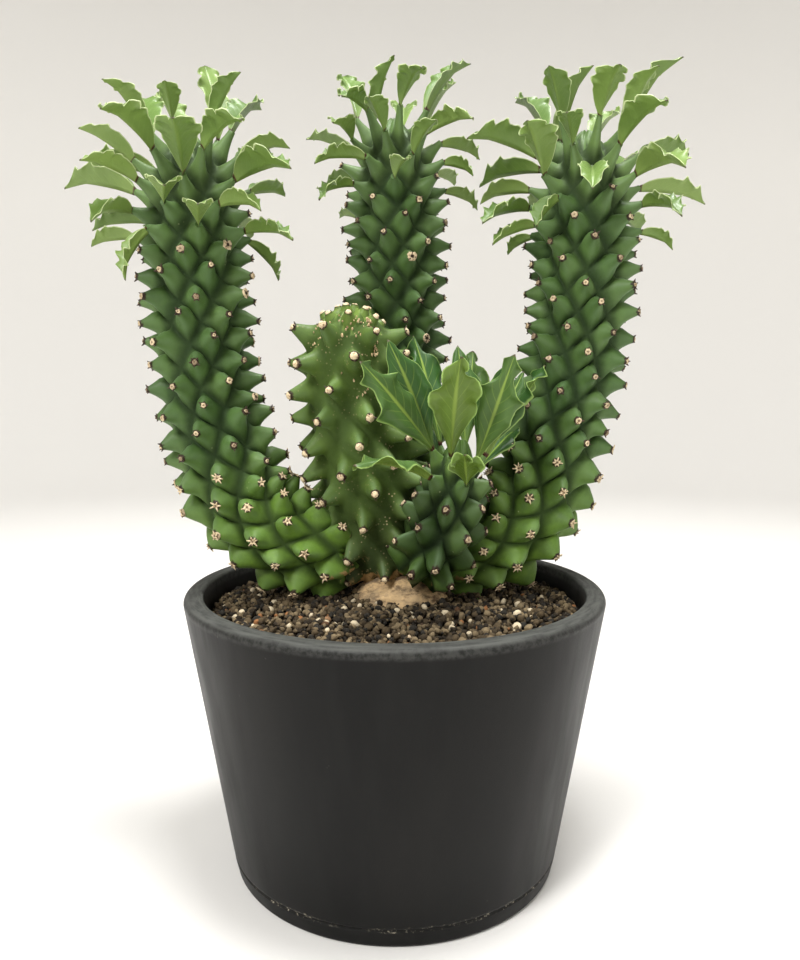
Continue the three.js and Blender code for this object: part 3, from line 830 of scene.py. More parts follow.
def add_knob(builder, stem, row, knob, free):
    """One knob: a diamond of skin drawn out to a small flat end. Returns where its end is."""
    share = stem.row_share(row)
    finger, body, narrowing = knob_shape(stem, share)
    border, border_share = knob_border(stem, row, knob)
    to_tip = stem.to_tip(share)
    extra = float(along(EXTRA_LEAN if stem.leafy else OLD_LEAN, to_tip))
    jitter = rng.uniform(-1, 1, 4)
    loose = 1.0 if free else 0.0
    lean = (extra + 0.2 * jitter[0]) * loose
    stretch = 1.06 + 0.15 * jitter[1] * loose
    swing = 0.09 * jitter[2] * loose
    base, end, axis, side, upper = stem.knob_end(row, knob, lean, stretch, swing)
    tangent = stem.frame(share)[1][0]
    raised = tangent * float(along(KNOB_RAISE, to_tip)) * loose * float(stem.tall)
    turn = turns(4 * SIDE_STEPS)
    up_part = -np.outer(np.cos(turn), upper)
    side_part = -np.outer(np.sin(turn), side)
    end_radius = (SCAR_RADIUS if stem.leafy else OLD_SCAR_RADIUS) * (1 + 0.15 * jitter[3])
    tall = np.linalg.norm(border[0] - border[2 * SIDE_STEPS]) / 2 * OVAL_SHARE
    wide = np.linalg.norm(border[SIDE_STEPS] - border[3 * SIDE_STEPS]) / 2 * OVAL_SHARE
    oval = up_part * tall + side_part * wide
    rings = []
    for share_up in RING_SHARES:
        skirt = (1 - share_up) * math.exp(-SKIRT_FALL * share_up)
        spread = body * (1 - share_up) ** narrowing + (1 - body) * skirt
        rounding = 0.85 * smooth(0.0, 0.25, share_up)
        flank = (border - base) * (1 - rounding) + oval * rounding
        centre = base + (end - base) * share_up + raised * smooth(0.0, 0.5, share_up)
        rings.append(centre + flank * spread + (up_part + side_part) * end_radius * (1 - spread))
    points = np.concatenate(rings)
    for index in range(len(border), len(points)):
        points[index] += axis * KNOB_UNEVENNESS * wobble(points[index], 0.35)
    ridge = np.abs(np.cos(turn)) ** 6 + 0.6 * np.abs(np.sin(turn)) ** 6
    count = len(border)
    faces = grid_faces(len(RING_SHARES), count, closed=True)
    builder.add(
        points, [face[::-1] for face in faces],
        tip=np.repeat(RING_SHARES, count), ridge=np.tile(ridge, len(RING_SHARES)),
        age=np.tile(border_share, len(RING_SHARES)), young=finger, tone=rng.uniform(0, 1), collar=loose,
    )
    builder.add(rings[-1], [list(range(count))[::-1]], tip=1.0, age=share, young=finger, collar=loose)
    return end + raised, axis, side, upper, end_radius


def add_cap(builder, stem, row, end_share, rise):
    """Closes a stem beyond its last row of knobs with a low dome."""
    foot = row == 1
    inner = stem.row_share(row)
    outer = stem.row_share(row - 1 if foot else row + 1)
    twist = -stem.twist if foot else stem.twist
    step = np.arange(SIDE_STEPS) / SIDE_STEPS
    shares = []
    angles = []
    for knob in range(stem.around):
        angle = stem.knob_angle(row, knob)
        shares += [inner + (outer - inner) * step, outer + (inner - outer) * step]
        angles.append(angle - stem.step / 2 + (twist + stem.step / 2) * step)
        angles.append(angle + twist + (stem.step / 2 - twist) * step)
    rises = np.tile(EDGE_RISE * np.sin(math.pi * step), 2 * stem.around)
    border = stem.surface(np.concatenate(shares), np.concatenate(angles), rises)
    centre, tangent, _, _ = (value[0] for value in stem.frame(end_share))
    top = centre + tangent * rise
    rings = []
    for share_in in (0.0, 0.3, 0.6, 0.85):
        ring = border + (top - border) * share_in
        ring += tangent * rise * 0.5 * math.sin(math.pi * share_in)
        rings.append(ring)
    count = len(border)
    points = np.concatenate([*rings, [top]])
    faces = grid_faces(4, count, closed=True) + fan_faces(3 * count, count, 4 * count)
    if foot:
        faces = [face[::-1] for face in faces]
    builder.add(points, faces, tip=0.3, age=end_share, young=0.0 if foot else 0.6, tone=0.2)


def add_scar(builder, end, axis, side, upper, radius):
    """The pale disc on a knob's end, with a raised rim and a small hollow."""
    count = 10
    circle = circle_points(count, upper, side)
    rings = []
    hollows = []
    stain = rng.uniform(0, 1) ** 2
    for share_in, rise, hollow in ((1.0, -0.25, 0.3), (0.98, 0.3, 0.0), (0.62, 0.5, 0.1), (0.3, 0.3, 0.6)):
        rough = 1 + 0.25 * rng.uniform(-1, 1, (count, 1))
        rings.append(end + circle * radius * share_in * rough + axis * rise)
        hollows.append(np.full(count, max(hollow, 0.8 * stain)))
    points = np.concatenate([*rings, [end + axis * 0.15]])
    faces = grid_faces(4, count, closed=True) + fan_faces(3 * count, count, 4 * count)
    builder.add(points, faces, hollow=np.concatenate([*hollows, [0.9]]))


BIG_SCAR_SHARE = 0.08
BIG_SCAR_SIZE = 1.5
SPINE_RADIUS = 0.42
SPINE_TIP_RADIUS = 0.12
RAY_TIP_RADIUS = 0.14
STAR_SHARES = (0.42, 0.26)    # down a tall stem between these shares, stars on knobs go from none to all


def dress_knob(pale, dark, stem, row, end, axis, side, upper, radius):
    """The scar on a knob's end, with dark spines around it or, low down, pale rays like a star."""
    share = stem.row_share(row)
    old = stem.name == "old_stem"
    if old:
        lump = end + axis * rng.uniform(0.5, 1.1)
        add_rod(pale, end - axis * 0.5, lump, radius * 1.05, radius * 0.6, 8, 0.3 * side)
    big = rng.uniform() < BIG_SCAR_SHARE and stem.name != "side_shoot" and not old
    size = radius * (BIG_SCAR_SIZE if big else rng.uniform(0.55, 1.0))
    add_scar(pale, end - axis * (0.35 if big else 0.0), axis, side, upper, size)
    star_chance = smooth(*STAR_SHARES, share) if stem.tall else 0.0
    count = rng.integers(3, 6)
    start = rng.uniform(0, 2 * math.pi)
    for index in range(count):
        angle = start + index * 2 * math.pi / count + rng.uniform(-0.3, 0.3)
        radial = upper * math.cos(angle) + side * math.sin(angle)
        foot = end + radial * radius * 0.85 - axis * 0.2
        away = unit(radial * rng.uniform(0.5, 1.1) + axis * rng.uniform(0.5, 1.0))
        add_rod(dark, foot, foot + away * rng.uniform(0.6, 1.3), SPINE_RADIUS, SPINE_TIP_RADIUS)
    if rng.uniform() > star_chance:
        return
    rays = rng.integers(5, 8)
    for index in range(rays):
        angle = start + (index + 0.5) * 2 * math.pi / rays + rng.uniform(-0.2, 0.2)
        radial = upper * math.cos(angle) + side * math.sin(angle)
        foot = end + radial * radius * 0.4 + axis * 0.2
        away = unit(radial + axis * rng.uniform(0.0, 0.5))
        add_rod(pale, foot, foot + away * rng.uniform(1.0, 1.9), SPINE_RADIUS, RAY_TIP_RADIUS)


def make_stem(key, with_leaves, material):
    """A stem's skin, the scars on its knobs' ends and the spines round them."""
    stem = STEMS[key]
    skin = Builder("tip", "ridge", "age", "young", "tone", "collar")
    pale = Builder("hollow")
    dark = Builder("hollow")
    for row in range(1, stem.rows):
        for knob in range(stem.around):
            free = (stem.rows - row, knob) not in with_leaves
            placed = add_knob(skin, stem, row, knob, free)
            if free:
                dress_knob(pale, dark, stem, row, *placed)
    add_cap(skin, stem, row=1, end_share=0.0, rise=-1.0)
    add_cap(skin, stem, row=stem.rows - 1, end_share=1.0, rise=3.0)
    if key == "old":
        add_dome(skin, pale, stem)
    body = skin.piece("skin_" + stem.name, material, weld=True)
    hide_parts(stem.name)
    pale.piece("scars_" + stem.name, scar_material)
    dark.piece("spines_" + stem.name, spine_material)


# ---------------------------------------------------------------- leaves

# Each leaf: its knob's row, counted down from the tip, and number round the stem; then its bearing in
# degrees from the right round past the front, its rise in degrees, its length and its width. A last
# value, where there is one, is how far the leaf is turned about its midrib to show its upper side.
BLADES = {
    "left": [
        [1, 3, 240, 84, 30, 11], [1, 4, 290, 48, 25, 12], [1, 1, 235, 59, 25, 12], [1, 2, 215, 66, 25, 10],
        [2, 5, 45, 23, 22, 11], [2, 6, 105, 23, 26, 12], [2, 1, 180, 13, 26, 14], [2, 3, 300, 38, 22, 11],
        [2, 2, 265, 34, 22, 12], [3, 1, 185, 18, 25, 14], [3, 6, 80, 37, 24, 14], [3, 5, 30, 14, 24, 15],
        [4, 1, 180, 2, 20, 10], [5, 5, 30, 0, 20, 9], [5, 4, 345, -40, 17, 8], [5, 0, 140, -50, 19, 8],
    ],
    "right": [
        [1, 0, 5, 79, 30, 13], [1, 6, 245, 55, 24, 12], [1, 2, 25, 65, 31, 12], [1, 1, 315, 52, 22, 11],
        [1, 4, 80, 45, 20, 11], [2, 3, 75, 24, 27, 12], [2, 5, 175, 24, 26, 14], [2, 0, 260, 45, 24, 12],
        [2, 6, 210, 5, 25, 13], [2, 2, 335, 20, 24, 11], [3, 5, 125, 53, 21, 14], [3, 3, 70, 4, 28, 14],
        [3, 2, 350, 1, 26, 11], [4, 5, 145, -8, 23, 11], [4, 2, 65, -7, 20, 10],
    ],
    "back": [
        [1, 1, 240, 68, 25, 10], [1, 2, 20, 81, 28, 9], [1, 4, 315, 61, 24, 10], [1, 5, 330, 60, 28, 11],
        [1, 6, 75, 24, 25, 9], [1, 0, 115, 6, 22, 9], [1, 3, 270, 50, 24, 10], [2, 2, 200, 29, 21, 9],
        [2, 6, 40, 13, 22, 10], [2, 5, 330, 2, 19, 9], [3, 0, 155, -1, 21, 9], [4, 1, 130, -12, 21, 8],
        [4, 5, 335, -8, 16, 8],
    ],
    "shoot": [
        [1, 0, 60, 58, 33, 13, 0.7], [1, 1, 90, 58, 33, 14], [1, 2, 130, 42, 38, 14, 0.6],
        [1, 3, 245, 66, 38, 13],
        [1, 4, 285, 58, 36, 12], [1, 5, 5, 58, 31, 14], [2, 1, 135, 24, 28, 15], [2, 0, 95, 40, 14, 9],
    ],
}
# Smaller leaves that fill each rosette.
SMALL_BLADES = {
    "left": [
        [3, 4, 310, 17, 16, 10], [4, 0, 115, -6, 20, 10], [4, 5, 25, 1, 17, 10], [4, 6, 75, 16, 18, 11],
        [5, 1, 180, -1, 15, 9], [5, 6, 75, 23, 16, 9], [5, 2, 220, 35, 14, 9], [1, 0, 130, 52, 18, 9],
        [1, 5, 20, 62, 18, 8], [1, 6, 85, 50, 13, 8], [2, 0, 150, 36, 19, 10], [3, 0, 130, 18, 20, 10],
        [2, 4, 335, 30, 18, 10], [3, 2, 235, 15, 18, 10], [3, 3, 275, 12, 18, 10], [4, 2, 225, 0, 16, 9],
        [4, 3, 275, 0, 16, 9],
    ],
    "right": [
        [5, 2, 0, -15, 13, 7], [5, 5, 165, -15, 18, 9], [5, 6, 220, -15, 12, 7], [4, 4, 150, -38, 14, 9],
        [3, 6, 200, 3, 19, 11], [3, 4, 100, -19, 18, 10], [2, 4, 110, 30, 18, 9], [1, 3, 60, 58, 20, 9],
        [1, 5, 120, 55, 20, 9], [3, 0, 240, 12, 18, 10], [3, 1, 300, 12, 18, 10], [2, 1, 300, 32, 18, 10],
        [4, 0, 250, -2, 16, 9], [4, 1, 300, -2, 16, 9],
    ],
    "back": [
        [2, 0, 110, 32, 18, 9], [2, 1, 105, 13, 19, 10], [3, 5, 15, -14, 13, 8], [3, 6, 65, 33, 19, 8],
        [5, 2, 225, 18, 11, 6], [2, 3, 250, 27, 14, 8], [4, 0, 70, 27, 13, 8], [2, 4, 290, 26, 16, 8],
        [3, 2, 200, 8, 16, 8], [3, 3, 250, 8, 16, 8], [3, 4, 300, 6, 16, 8],
    ],
    "shoot": [
        [2, 4, 320, 40, 22, 11], [2, 3, 230, 46, 24, 11], [1, 0, 40, 70, 28, 12, 0.8],
        [1, 2, 150, 68, 34, 14, 0.8], [1, 4, 270, 76, 32, 13], [1, 5, 330, 60, 28, 12, 0.6],
    ],
}

# Widths along a leaf, as [share of length, share of width], and the fold's angle along it.
LEAF_WIDTHS = [
    [0, 0.16], [0.05, 0.27], [0.12, 0.48], [0.22, 0.68], [0.36, 0.86], [0.52, 0.98], [0.64, 1.0],
    [0.76, 0.9], [0.86, 0.64], [0.94, 0.3], [1.0, 0.02],
]
SHOOT_LEAF_WIDTHS = [
    [0, 0.14], [0.08, 0.22], [0.2, 0.42], [0.32, 0.7], [0.43, 0.92], [0.53, 1.0], [0.63, 0.93],
    [0.73, 0.72], [0.82, 0.46], [0.91, 0.24], [1.0, 0.02],
]
LEAF_FOLD = [[0, 64], [0.15, 58], [0.4, 50], [0.7, 42], [1, 48]]
SHOOT_LEAF_FOLD = [[0, 52], [0.25, 36], [0.6, 22], [1, 30]]
LEAF_BREADTH = 1.28      # a leaf laid flat is wider than its folded outline
SHOOT_LEAF_REACH = 5.5   # the shoot's leaves start this much nearer to its tip
SHOOT_LEAF_BREADTH = 1.15
CRISPING = 1.25          # height of the waves along a leaf's margins
SHOOT_CRISPING = 2.0
SMALL_CRISPING = 0.6
LENGTH_STEPS = 40
WIDTH_STEPS = 16


def leaf_faces(rows, columns):
    """Faces of an upper and a lower surface of rows by columns of points, joined all round."""
    faces = grid_faces(rows, columns)
    top = list(faces)
    count = rows * columns
    faces += [[corner + count for corner in face[::-1]] for face in top]
    for row in range(rows - 1):
        here, after = row * columns, (row + 1) * columns
        faces.append([here, here + count, after + count, after][::-1])
        here += columns - 1
        after += columns - 1
        faces.append([here, here + count, after + count, after])
    for column in range(columns - 1):
        last = (rows - 1) * columns + column
        faces.append([column, column + count, column + 1 + count, column + 1])
        faces.append([last, last + 1, last + 1 + count, last + count])
    return faces


def add_leaf(builder, stem, blade, shoot, crisping):
    """A closed leaf: an upper and a lower surface that meet at the wavy margins."""
    rows_down, knob, bearing, rise, length, width, *turned = blade
    bearing = math.radians(bearing)
    rise = math.radians(rise)
    if shoot:
        length += SHOOT_LEAF_REACH
        width *= SHOOT_LEAF_BREADTH
    seat = stem.knob_end(stem.rows - rows_down, knob)[1]
    outward = np.array([math.cos(bearing), -math.sin(bearing), 0.0])
    forward = outward * math.cos(rise) + UP * math.sin(rise)
    facing = UP * math.cos(rise) - outward * math.sin(rise)
    if turned:
        to_front = unit(FRONT - forward * (forward @ FRONT))
        facing = unit(facing * (1 - turned[0]) + to_front * turned[0])
    side = np.cross(forward, facing)
    down = np.linspace(0, 1, LENGTH_STEPS + 1)
    across = np.sin(np.linspace(-1, 1, WIDTH_STEPS + 1) * math.pi / 2)
    if shoot:
        half = width / 2 * along(SHOOT_LEAF_WIDTHS, down)
        curl = 0.02 + 0.2 * smooth(50, 20, math.degrees(rise))
        fold = np.radians(along(SHOOT_LEAF_FOLD, down) + rng.uniform(-5, 5))
        cupping = 0.45
    else:
        half = width / 2 * LEAF_BREADTH * along(LEAF_WIDTHS, down)
        curl = LEAF_CURL
        fold = np.radians(along(LEAF_FOLD, down) + rng.uniform(-5, 5))
        cupping = 0.16
    sway = rng.uniform(-0.06, 0.06) * length
    hook = rng.uniform(0.0, 0.03) * length if shoot else rng.uniform(0.03, 0.1) * length
    phases = rng.uniform(0, 2 * math.pi, 2)
    waves = rng.uniform(2.8, 4.0, 2) if shoot else rng.uniform(4.0, 5.4, 2)
    upper = []
    lower = []
    for step, share in enumerate(down):
        middle = seat + forward * (CLEARANCE + share * length)
        middle = middle - facing * (curl * share ** 2 * length + hook * max(0.0, share - 0.72) / 0.28)
        middle = middle + side * sway * share ** 2
        frill = crisping * smooth(0.3, 0.72, share) * smooth(1.02, 0.92, share)
        for v in across:
            half_side = 0 if v < 0 else 1
            turn = 2 * math.pi * waves[half_side] * share + phases[half_side]
            near_margin = abs(v) ** 3.5
            reach = half[step] * abs(v)
            lift = reach * math.sin(fold[step]) - half[step] * cupping * abs(v) ** 4
            lift += frill * (math.sin(turn) + 0.35 * math.sin(2.3 * turn)) * near_margin
            span = reach * math.cos(fold[step]) + frill * (0.75 * math.cos(turn) + 0.25) * near_margin
            point = middle + side * math.copysign(span, v) + facing * lift
            edge = 1 - abs(v)
            thick = 0.25 + 0.4 * edge + 0.6 * smooth(0.3, 0.0, share) * edge
            keel = 0.6 * smooth(0.25, 0.0, abs(v)) * smooth(1.0, 0.2, share)
            upper.append(point + facing * thick / 2)
            lower.append(point - facing * (thick / 2 + keel))
    rows, columns = len(down), len(across)
    builder.add(
        np.array(upper + lower), leaf_faces(rows, columns), edge=np.tile(np.abs(across), 2 * rows),
        along=np.tile(np.repeat(down, columns), 2), under=np.repeat([0.0, 1.0], rows * columns),
        tone=rng.uniform(0, 1) ** 2,
    )


def make_leaves():
    """One piece for each large leaf, and one for each rosette's small leaves."""
    for key, blades in BLADES.items():
        stem = STEMS[key]
        shoot = key == "shoot"
        material = shoot_leaf_material if shoot else leaf_material
        for number, blade in enumerate(blades, 1):
            builder = Builder("edge", "along", "under", "tone")
            add_leaf(builder, stem, blade, shoot, SHOOT_CRISPING if shoot else CRISPING)
            made = builder.piece(f"blade_{key}_{number:02d}", material)
            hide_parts(f"leaf_{key}_{number:02d}")
        builder = Builder("edge", "along", "under", "tone")
        for blade in SMALL_BLADES[key]:
            add_leaf(builder, stem, blade, shoot, SMALL_CRISPING)
        builder.piece(f"small_blades_{key}", material)


# ---------------------------------------------------------------- pot, soil and crown


def turned_points(profile, count):
    """Points of a profile of [radius, height] pairs turned about Z, ring by ring."""
    turn = turns(count)
    rings = []
    for radius, height in profile:
        x, y = radius * np.cos(turn), radius * np.sin(turn)
        rings.append(np.stack([x, y, np.full(count, height)], axis=1))
    return np.concatenate(rings)


POT_STEPS = 160
DRILL_MARGIN = 4.0       # how far the drills reach past the floor on each side
# The scored line round the foot, as [height, depth].
FOOT_LINE = [[4.8, 0.0], [5.9, 0.0], [6.3, 0.35], [6.8, 0.4], [7.2, 0.05], [7.8, 0.0]]


def drill_pot(made):
    """Cuts the drain holes through the pot's floor."""
    drills = Builder()
    for hole in range(DRAIN_HOLE_COUNT):
        angle = hole / DRAIN_HOLE_COUNT * 2 * math.pi
        low = np.array([math.cos(angle), math.sin(angle), 0.0]) * DRAIN_HOLE_RING_RADIUS - UP * DRILL_MARGIN
        high = low + UP * (FLOOR_THICKNESS + 2 * DRILL_MARGIN)
        add_rod(drills, low, high, DRAIN_HOLE_RADIUS, DRAIN_HOLE_RADIUS, 32)
    cutter_mesh = bpy.data.meshes.new("drills")
    cutter_mesh.from_pydata((np.concatenate(drills.points) * MM).tolist(), [], drills.faces)
    cutter = bpy.data.objects.new("drills", cutter_mesh)
    scene.collection.objects.link(cutter)
    cut = made.modifiers.new("drain_holes", "BOOLEAN")
    cut.object = cutter
    cut.solver = "EXACT"
    bpy.context.view_layer.update()
    drilled = bpy.data.meshes.new_from_object(made.evaluated_get(bpy.context.evaluated_depsgraph_get()))
    made.modifiers.clear()
    made.data = drilled
    bpy.data.objects.remove(cutter)


def make_pot():
    """The turned pot, from its foot over the rounded rim and down inside, with its drain holes."""
    profile = [[PIN_RADIUS, 0.0], [BASE_RADIUS - 12, 0.0], [BASE_RADIUS - FOOT_BEVEL - 0.3, 0.0]]
    for sine, cosine in quarter_round(5):
        profile.append([BASE_RADIUS - FOOT_BEVEL * (1 - sine), FOOT_BEVEL * (1 - cosine)])
    for height, inset in FOOT_LINE:
        profile.append([BASE_RADIUS + WALL_SLOPE * height - inset, height])
    shoulder = POT_HEIGHT - RIM_ROUNDING
    for height in np.linspace(12, shoulder - 0.5, 22):
        profile.append([BASE_RADIUS + (RIM_RADIUS - BASE_RADIUS) * height / shoulder, height])
    for sine, cosine in quarter_round(8):
        profile.append([RIM_RADIUS - RIM_ROUNDING * (1 - cosine), shoulder + RIM_ROUNDING * sine])
    edge = WALL / 6
    for sine, cosine in quarter_round(5):
        profile.append([MOUTH_RADIUS + edge * (1 - sine), POT_HEIGHT - edge * (1 - cosine)])
    for height in (POT_HEIGHT - 4, SOIL_EDGE, 60, 30, FLOOR_THICKNESS + 2):
        profile.append([pot_inside(height), height])
    profile += [[pot_inside(FLOOR_THICKNESS) - 1.5, FLOOR_THICKNESS], [PIN_RADIUS, FLOOR_THICKNESS]]
    builder = Builder()
    builder.add(turned_points(profile, POT_STEPS), grid_faces(len(profile), POT_STEPS, closed=True))
    made = builder.piece("pot_body", pot_material, weld=True)
    drill_pot(made)
    made.data.set_sharp_from_angle(angle=math.radians(40))
    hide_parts("pot")


def soil_height(x, y):
    """The mean height of the mounded soil at a place."""
    share = min(1.0, math.hypot(x, y) / pot_inside(SOIL_EDGE))
    return SOIL_EDGE + SOIL_MOUND * math.cos(share * math.pi / 2)


BED_WALL_GAP = 0.15
BED_RINGS = 44
BED_STEPS = 132


def make_bed():
    """The uneven top of the soil, with its body below it."""
    radius = pot_inside(SOIL_EDGE) - BED_WALL_GAP
    builder = Builder()
    turn = turns(BED_STEPS)
    points = []
    for ring in range(BED_RINGS + 1):
        ring_radius = max(PIN_RADIUS, radius * ring / BED_RINGS)
        for angle in turn:
            x = ring_radius * math.cos(angle)
            y = ring_radius * math.sin(angle)
            points.append([x, y, soil_height(x, y) - 0.4 + 0.5 * wobble((x, y, 0), 0.3)])
    low = FLOOR_THICKNESS + CLEARANCE
    for height in (SOIL_EDGE - 3, 40.0, low):
        for angle in turn:
            reach = pot_inside(height) - BED_WALL_GAP
            points.append([reach * math.cos(angle), reach * math.sin(angle), height])
    for angle in turn:
        points.append([PIN_RADIUS * math.cos(angle), PIN_RADIUS * math.sin(angle), low])
    faces = grid_faces(BED_RINGS + 5, BED_STEPS, closed=True)
    builder.add(np.array(points), [face[::-1] for face in faces])
    made = builder.piece("soil_bed", bed_material, weld=True)
    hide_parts("potting_soil")



def rock_shapes(count):
    """Unit rocks: distorted spheres with a few flat sides."""
    shape = bmesh.new()
    bmesh.ops.create_icosphere(shape, subdivisions=2, radius=1.0)
    places = np.array([vertex.co[:] for vertex in shape.verts])
    faces = [[vertex.index for vertex in face.verts] for face in shape.faces]
    shape.free()
    rocks = []
    for _ in range(count):
        rock = places.copy()
        for _ in range(6):
            normal = unit(rng.normal(size=3))
            reach = rng.uniform(0.55, 0.85)
            over = np.maximum(rock @ normal - reach, 0)
            rock -= np.outer(over, normal)
        rock *= rng.uniform(0.75, 1.1, 3)
        rocks.append(rock)
    return rocks, faces


def random_turn():
    """A random turn as a 3 by 3 matrix."""
    matrix, _ = np.linalg.qr(rng.normal(size=(3, 3)))
    return matrix * np.sign(np.linalg.det(matrix))


GRAIN_PIECES = 3
GRAIN_TRIES = 2300       # places tried for each piece; those inside a stem or the wall are left out
GRAIN_SIZES = [0.75, 1.05, 1.45]
GRAIN_SIZE_SHARES = [0.42, 0.42, 0.16]
STEM_GAP = 0.2           # no grain lies nearer than this to a stem


def make_grains():
    """Loose grit over the bed, left out where a stem stands."""
    rocks, faces = rock_shapes(14)
    share = np.linspace(0, 0.6, 60)
    centres = np.concatenate([stem.frame(share)[0] for stem in STEMS.values()])
    radii = np.concatenate([along(stem.outline, share) for stem in STEMS.values()])
    reach = pot_inside(SOIL_EDGE) - 1.0
    for number in range(1, GRAIN_PIECES + 1):
        builder = Builder("tone")
        for _ in range(GRAIN_TRIES):
            angle = rng.uniform(0, 2 * math.pi)
            distance = reach * math.sqrt(rng.uniform())
            x, y = distance * math.cos(angle), distance * math.sin(angle)
            size = rng.choice(GRAIN_SIZES, p=GRAIN_SIZE_SHARES) * rng.uniform(0.8, 1.15)
            z = soil_height(x, y) + rng.uniform(-0.5, 0.9) + 0.5 * size
            gap = np.linalg.norm(centres - np.array([x, y, z]), axis=1) - radii
            if gap.min() < STEM_GAP or distance > reach - size:
                continue
            rock = rocks[rng.integers(len(rocks))] @ random_turn() * size + np.array([x, y, z])
            builder.add(rock, faces, tone=rng.uniform())
        builder.piece(f"grains_{number}", grain_material)


CROWN_RADII = np.array([18, 18.5, 13])


def make_crown():
    """A lumpy woody mound with roots that flare into the soil."""
    builder = Builder()
    middle = np.array([0.03 * MOUTH_RADIUS, 0.02 * MOUTH_RADIUS, SOIL_TOP - 4.3])
    rings = 40
    count = 72
    points = []
    for ring in range(rings + 1):
        polar = max(0.002, ring / rings * (math.pi - 0.004))
        for step in range(count):
            angle = step / count * 2 * math.pi
            direction = np.array([
                math.sin(polar) * math.cos(angle), math.sin(polar) * math.sin(angle), math.cos(polar),
            ])
            lumps = 1 + 0.1 * wobble(direction * 10, 0.25, 3.0) + 0.05 * wobble(direction * 10, 0.9, 5.0)
            flare = 1 + 0.16 * max(0.0, math.sin(5 * angle + 0.6)) * smooth(0.5, -0.5, direction[2])
            ripple = 0.9 * abs(math.sin(direction[2] * 4.5 + 1.2 * wobble(direction * 10, 0.2))) ** 0.6
            points.append(middle + direction * CROWN_RADII * lumps * flare + direction * ripple)
    builder.add(np.array(points), [face[::-1] for face in grid_faces(rings + 1, count, closed=True)])
    made = builder.piece("crown_bark", cork_material, weld=True)
    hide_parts("root_crown")


NOSE_END_RADIUS = 1.25
NOSE_FOOT_RADIUS = 3.9
# Rings of noses over the dome: how many, how far from its middle and how far they lean out, in radians.
DOME_RINGS = [[1, 0.0, 0.0], [5, 4.6, 0.35], [8, 8.6, 0.75]]


def add_nose(builder, pale, foot, axis, length, radius):
    """A free-standing cone that flares at its foot, with a pale stub on its end."""
    first = unit(np.cross(axis, FRONT))
    second = np.cross(axis, first)
    count = 14
    circle = circle_points(count, first, second)
    shares = np.linspace(0, 1, 8)
    widths = NOSE_END_RADIUS + (radius - NOSE_END_RADIUS) * (1 - shares) ** 1.15
    rings = [foot + axis * length * share + circle * width for share, width in zip(shares, widths)]
    points = np.concatenate(rings)
    builder.add(
        points, grid_faces(len(shares), count, closed=True), tip=np.repeat(0.25 + 0.75 * shares, count),
        age=1.0, young=0.5, tone=rng.uniform(0, 1), collar=0.6,
    )
    end = foot + axis * length
    add_rod(pale, end - axis * 0.5, end + axis * rng.uniform(0.3, 0.8), NOSE_END_RADIUS * 1.05, 0.8, 8)


def add_dome(builder, pale, stem):
    """Small upright noses crowded over a stem's blunt top."""
    centre, tangent, front, right = (value[0] for value in stem.frame(1.0))
    for ring, (count, distance, lean) in enumerate(DOME_RINGS):
        for index in range(count):
            angle = (index + 0.5 * ring + rng.uniform(-0.15, 0.15)) / count * 2 * math.pi
            outward = right * math.cos(angle) + front * math.sin(angle)
            axis = unit(outward * math.sin(lean) + tangent * math.cos(lean))
            foot = centre + outward * distance + tangent * (0.6 - 0.04 * distance ** 2)
            add_nose(builder, pale, foot - axis, axis, rng.uniform(4.0, 5.6), NOSE_FOOT_RADIUS)


# Each patch of crumbs: its angle round the stem, its share up the stem, the spread of both and its count.
CRUMB_PATCHES = [
    [0.95, 0.93, 0.08, 0.07, 90], [1.5, 0.96, 0.5, 0.04, 50], [2.4, 0.93, 0.3, 0.04, 24],
    [1.3, 0.75, 0.5, 0.12, 20],
]


def make_dried_bits():
    """Tan corky crumbs caught between the old stem's upper knobs."""
    stem = STEMS["old"]
    rocks, faces = rock_shapes(6)
    builder = Builder("hollow")
    for middle_angle, middle_share, angle_spread, share_spread, count in CRUMB_PATCHES:
        for _ in range(count):
            share = min(1.0, middle_share + share_spread * rng.uniform(-1, 1))
            angle = middle_angle + angle_spread * rng.uniform(-1, 1)
            place = stem.surface(np.array([share]), np.array([angle]), rng.uniform(0.2, 1.8))[0]
            rock = rocks[rng.integers(len(rocks))] @ random_turn() * rng.uniform(0.15, 0.5)
            builder.add(rock * np.array([1.0, 1.0, 1.6]) + place, faces, hollow=rng.uniform(0, 0.5))
    builder.piece("dried_bits_old_stem", dried_material)


# ---------------------------------------------------------------- assembly


def leafy_knobs(key):
    """The knobs that end in a leaf, as (row down from the tip, number round the stem)."""
    blades = BLADES[key] + SMALL_BLADES[key]
    return {(blade[0], blade[1]) for blade in blades}


make_pot()
make_bed()
make_grains()
make_crown()
for key in ("left", "right", "back"):
    make_stem(key, leafy_knobs(key), stem_material)
make_stem("shoot", leafy_knobs("shoot"), shaded_shoot_material)
make_stem("old", set(), old_material)
make_dried_bits()
make_leaves()

# ---------------------------------------------------------------- floor, light and camera


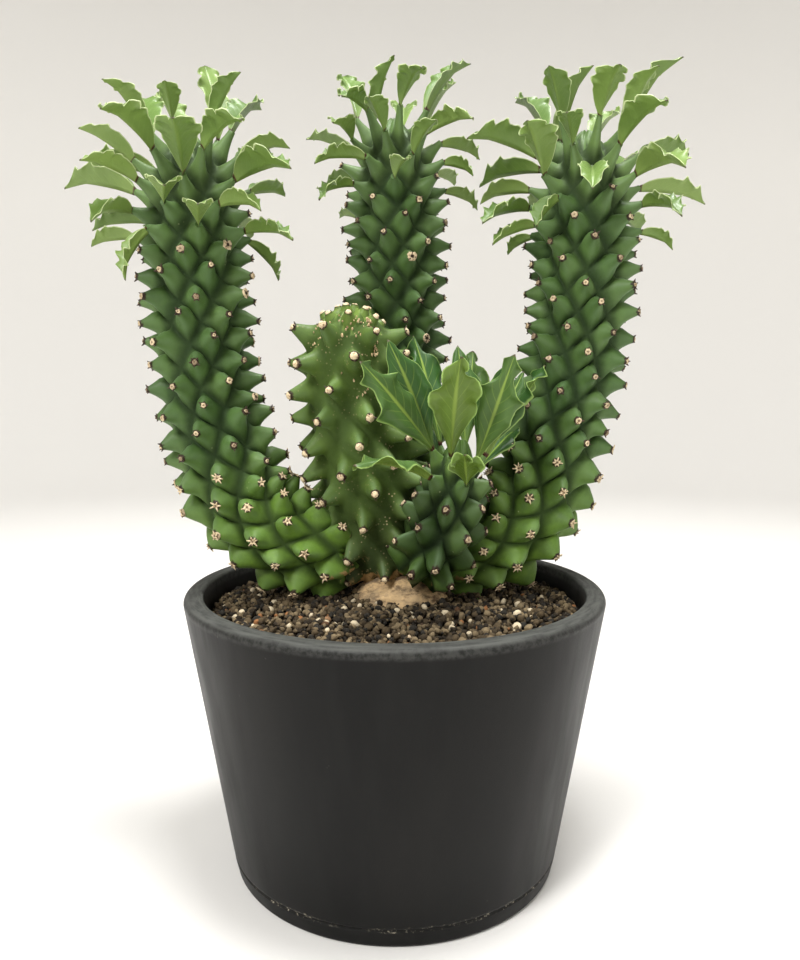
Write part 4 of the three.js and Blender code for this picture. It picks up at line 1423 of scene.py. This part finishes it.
# In metres, as are the places of the lights and the camera.
FLOOR_FLAT_RADIUS = 1.1
FLOOR_SWEEP = 0.6
BACKDROP_HEIGHT = 2.2
PLANT_MIDDLE = (0.0, 0.0, 0.17)
FLOOR_STEPS = 96


def make_floor():
    """A pale round floor that sweeps up into a backdrop on all sides."""
    profile = [(0.001, 0.0), (0.5, 0.0), (1.0, 0.0)]
    for sine, cosine in quarter_round(16):
        profile.append((FLOOR_FLAT_RADIUS + FLOOR_SWEEP * sine, FLOOR_SWEEP * (1 - cosine)))
    profile.append((FLOOR_FLAT_RADIUS + FLOOR_SWEEP, BACKDROP_HEIGHT))
    points = turned_points(profile, FLOOR_STEPS).tolist()
    mesh = bpy.data.meshes.new("floor")
    mesh.from_pydata(points, [], grid_faces(len(profile), FLOOR_STEPS, closed=True))
    mesh.polygons.foreach_set("use_smooth", [True] * len(mesh.polygons))
    mesh.materials.append(floor_material)
    floor = bpy.data.objects.new("floor", mesh)
    scene.collection.objects.link(floor)


def add_area_light(name, place, size, power):
    """A round soft light aimed at the plant's middle."""
    data = bpy.data.lights.new(name, "AREA")
    data.shape = "DISK"
    data.size = size
    data.energy = power
    light = bpy.data.objects.new(name, data)
    light.location = place
    light.rotation_euler = (Vector(PLANT_MIDDLE) - Vector(place)).to_track_quat("-Z", "Y").to_euler()
    scene.collection.objects.link(light)


make_floor()
world = bpy.data.worlds.new("studio")
world.use_nodes = True
background = world.node_tree.nodes["Background"].inputs
background["Color"].default_value = (1.0, 0.99, 0.97, 1.0)
background["Strength"].default_value = 0.32
scene.world = world
add_area_light("key", (-0.55, -0.75, 0.95), size=0.4, power=12.5)
add_area_light("fill", (0.8, -0.6, 0.5), size=0.8, power=1.8)
add_area_light("top", (0.1, -0.05, 1.1), size=0.4, power=15.0)

camera_data = bpy.data.cameras.new("camera")
camera_data.lens = 30.45
camera_data.sensor_width = 36.0
camera = bpy.data.objects.new("camera", camera_data)
camera.location = (0.00183, -0.291, 0.1725)
camera.rotation_euler = (math.radians(83.4), 0.0, 0.0)
scene.collection.objects.link(camera)
scene.camera = camera
scene.view_settings.view_transform = "Standard"
scene.view_settings.look = "None"
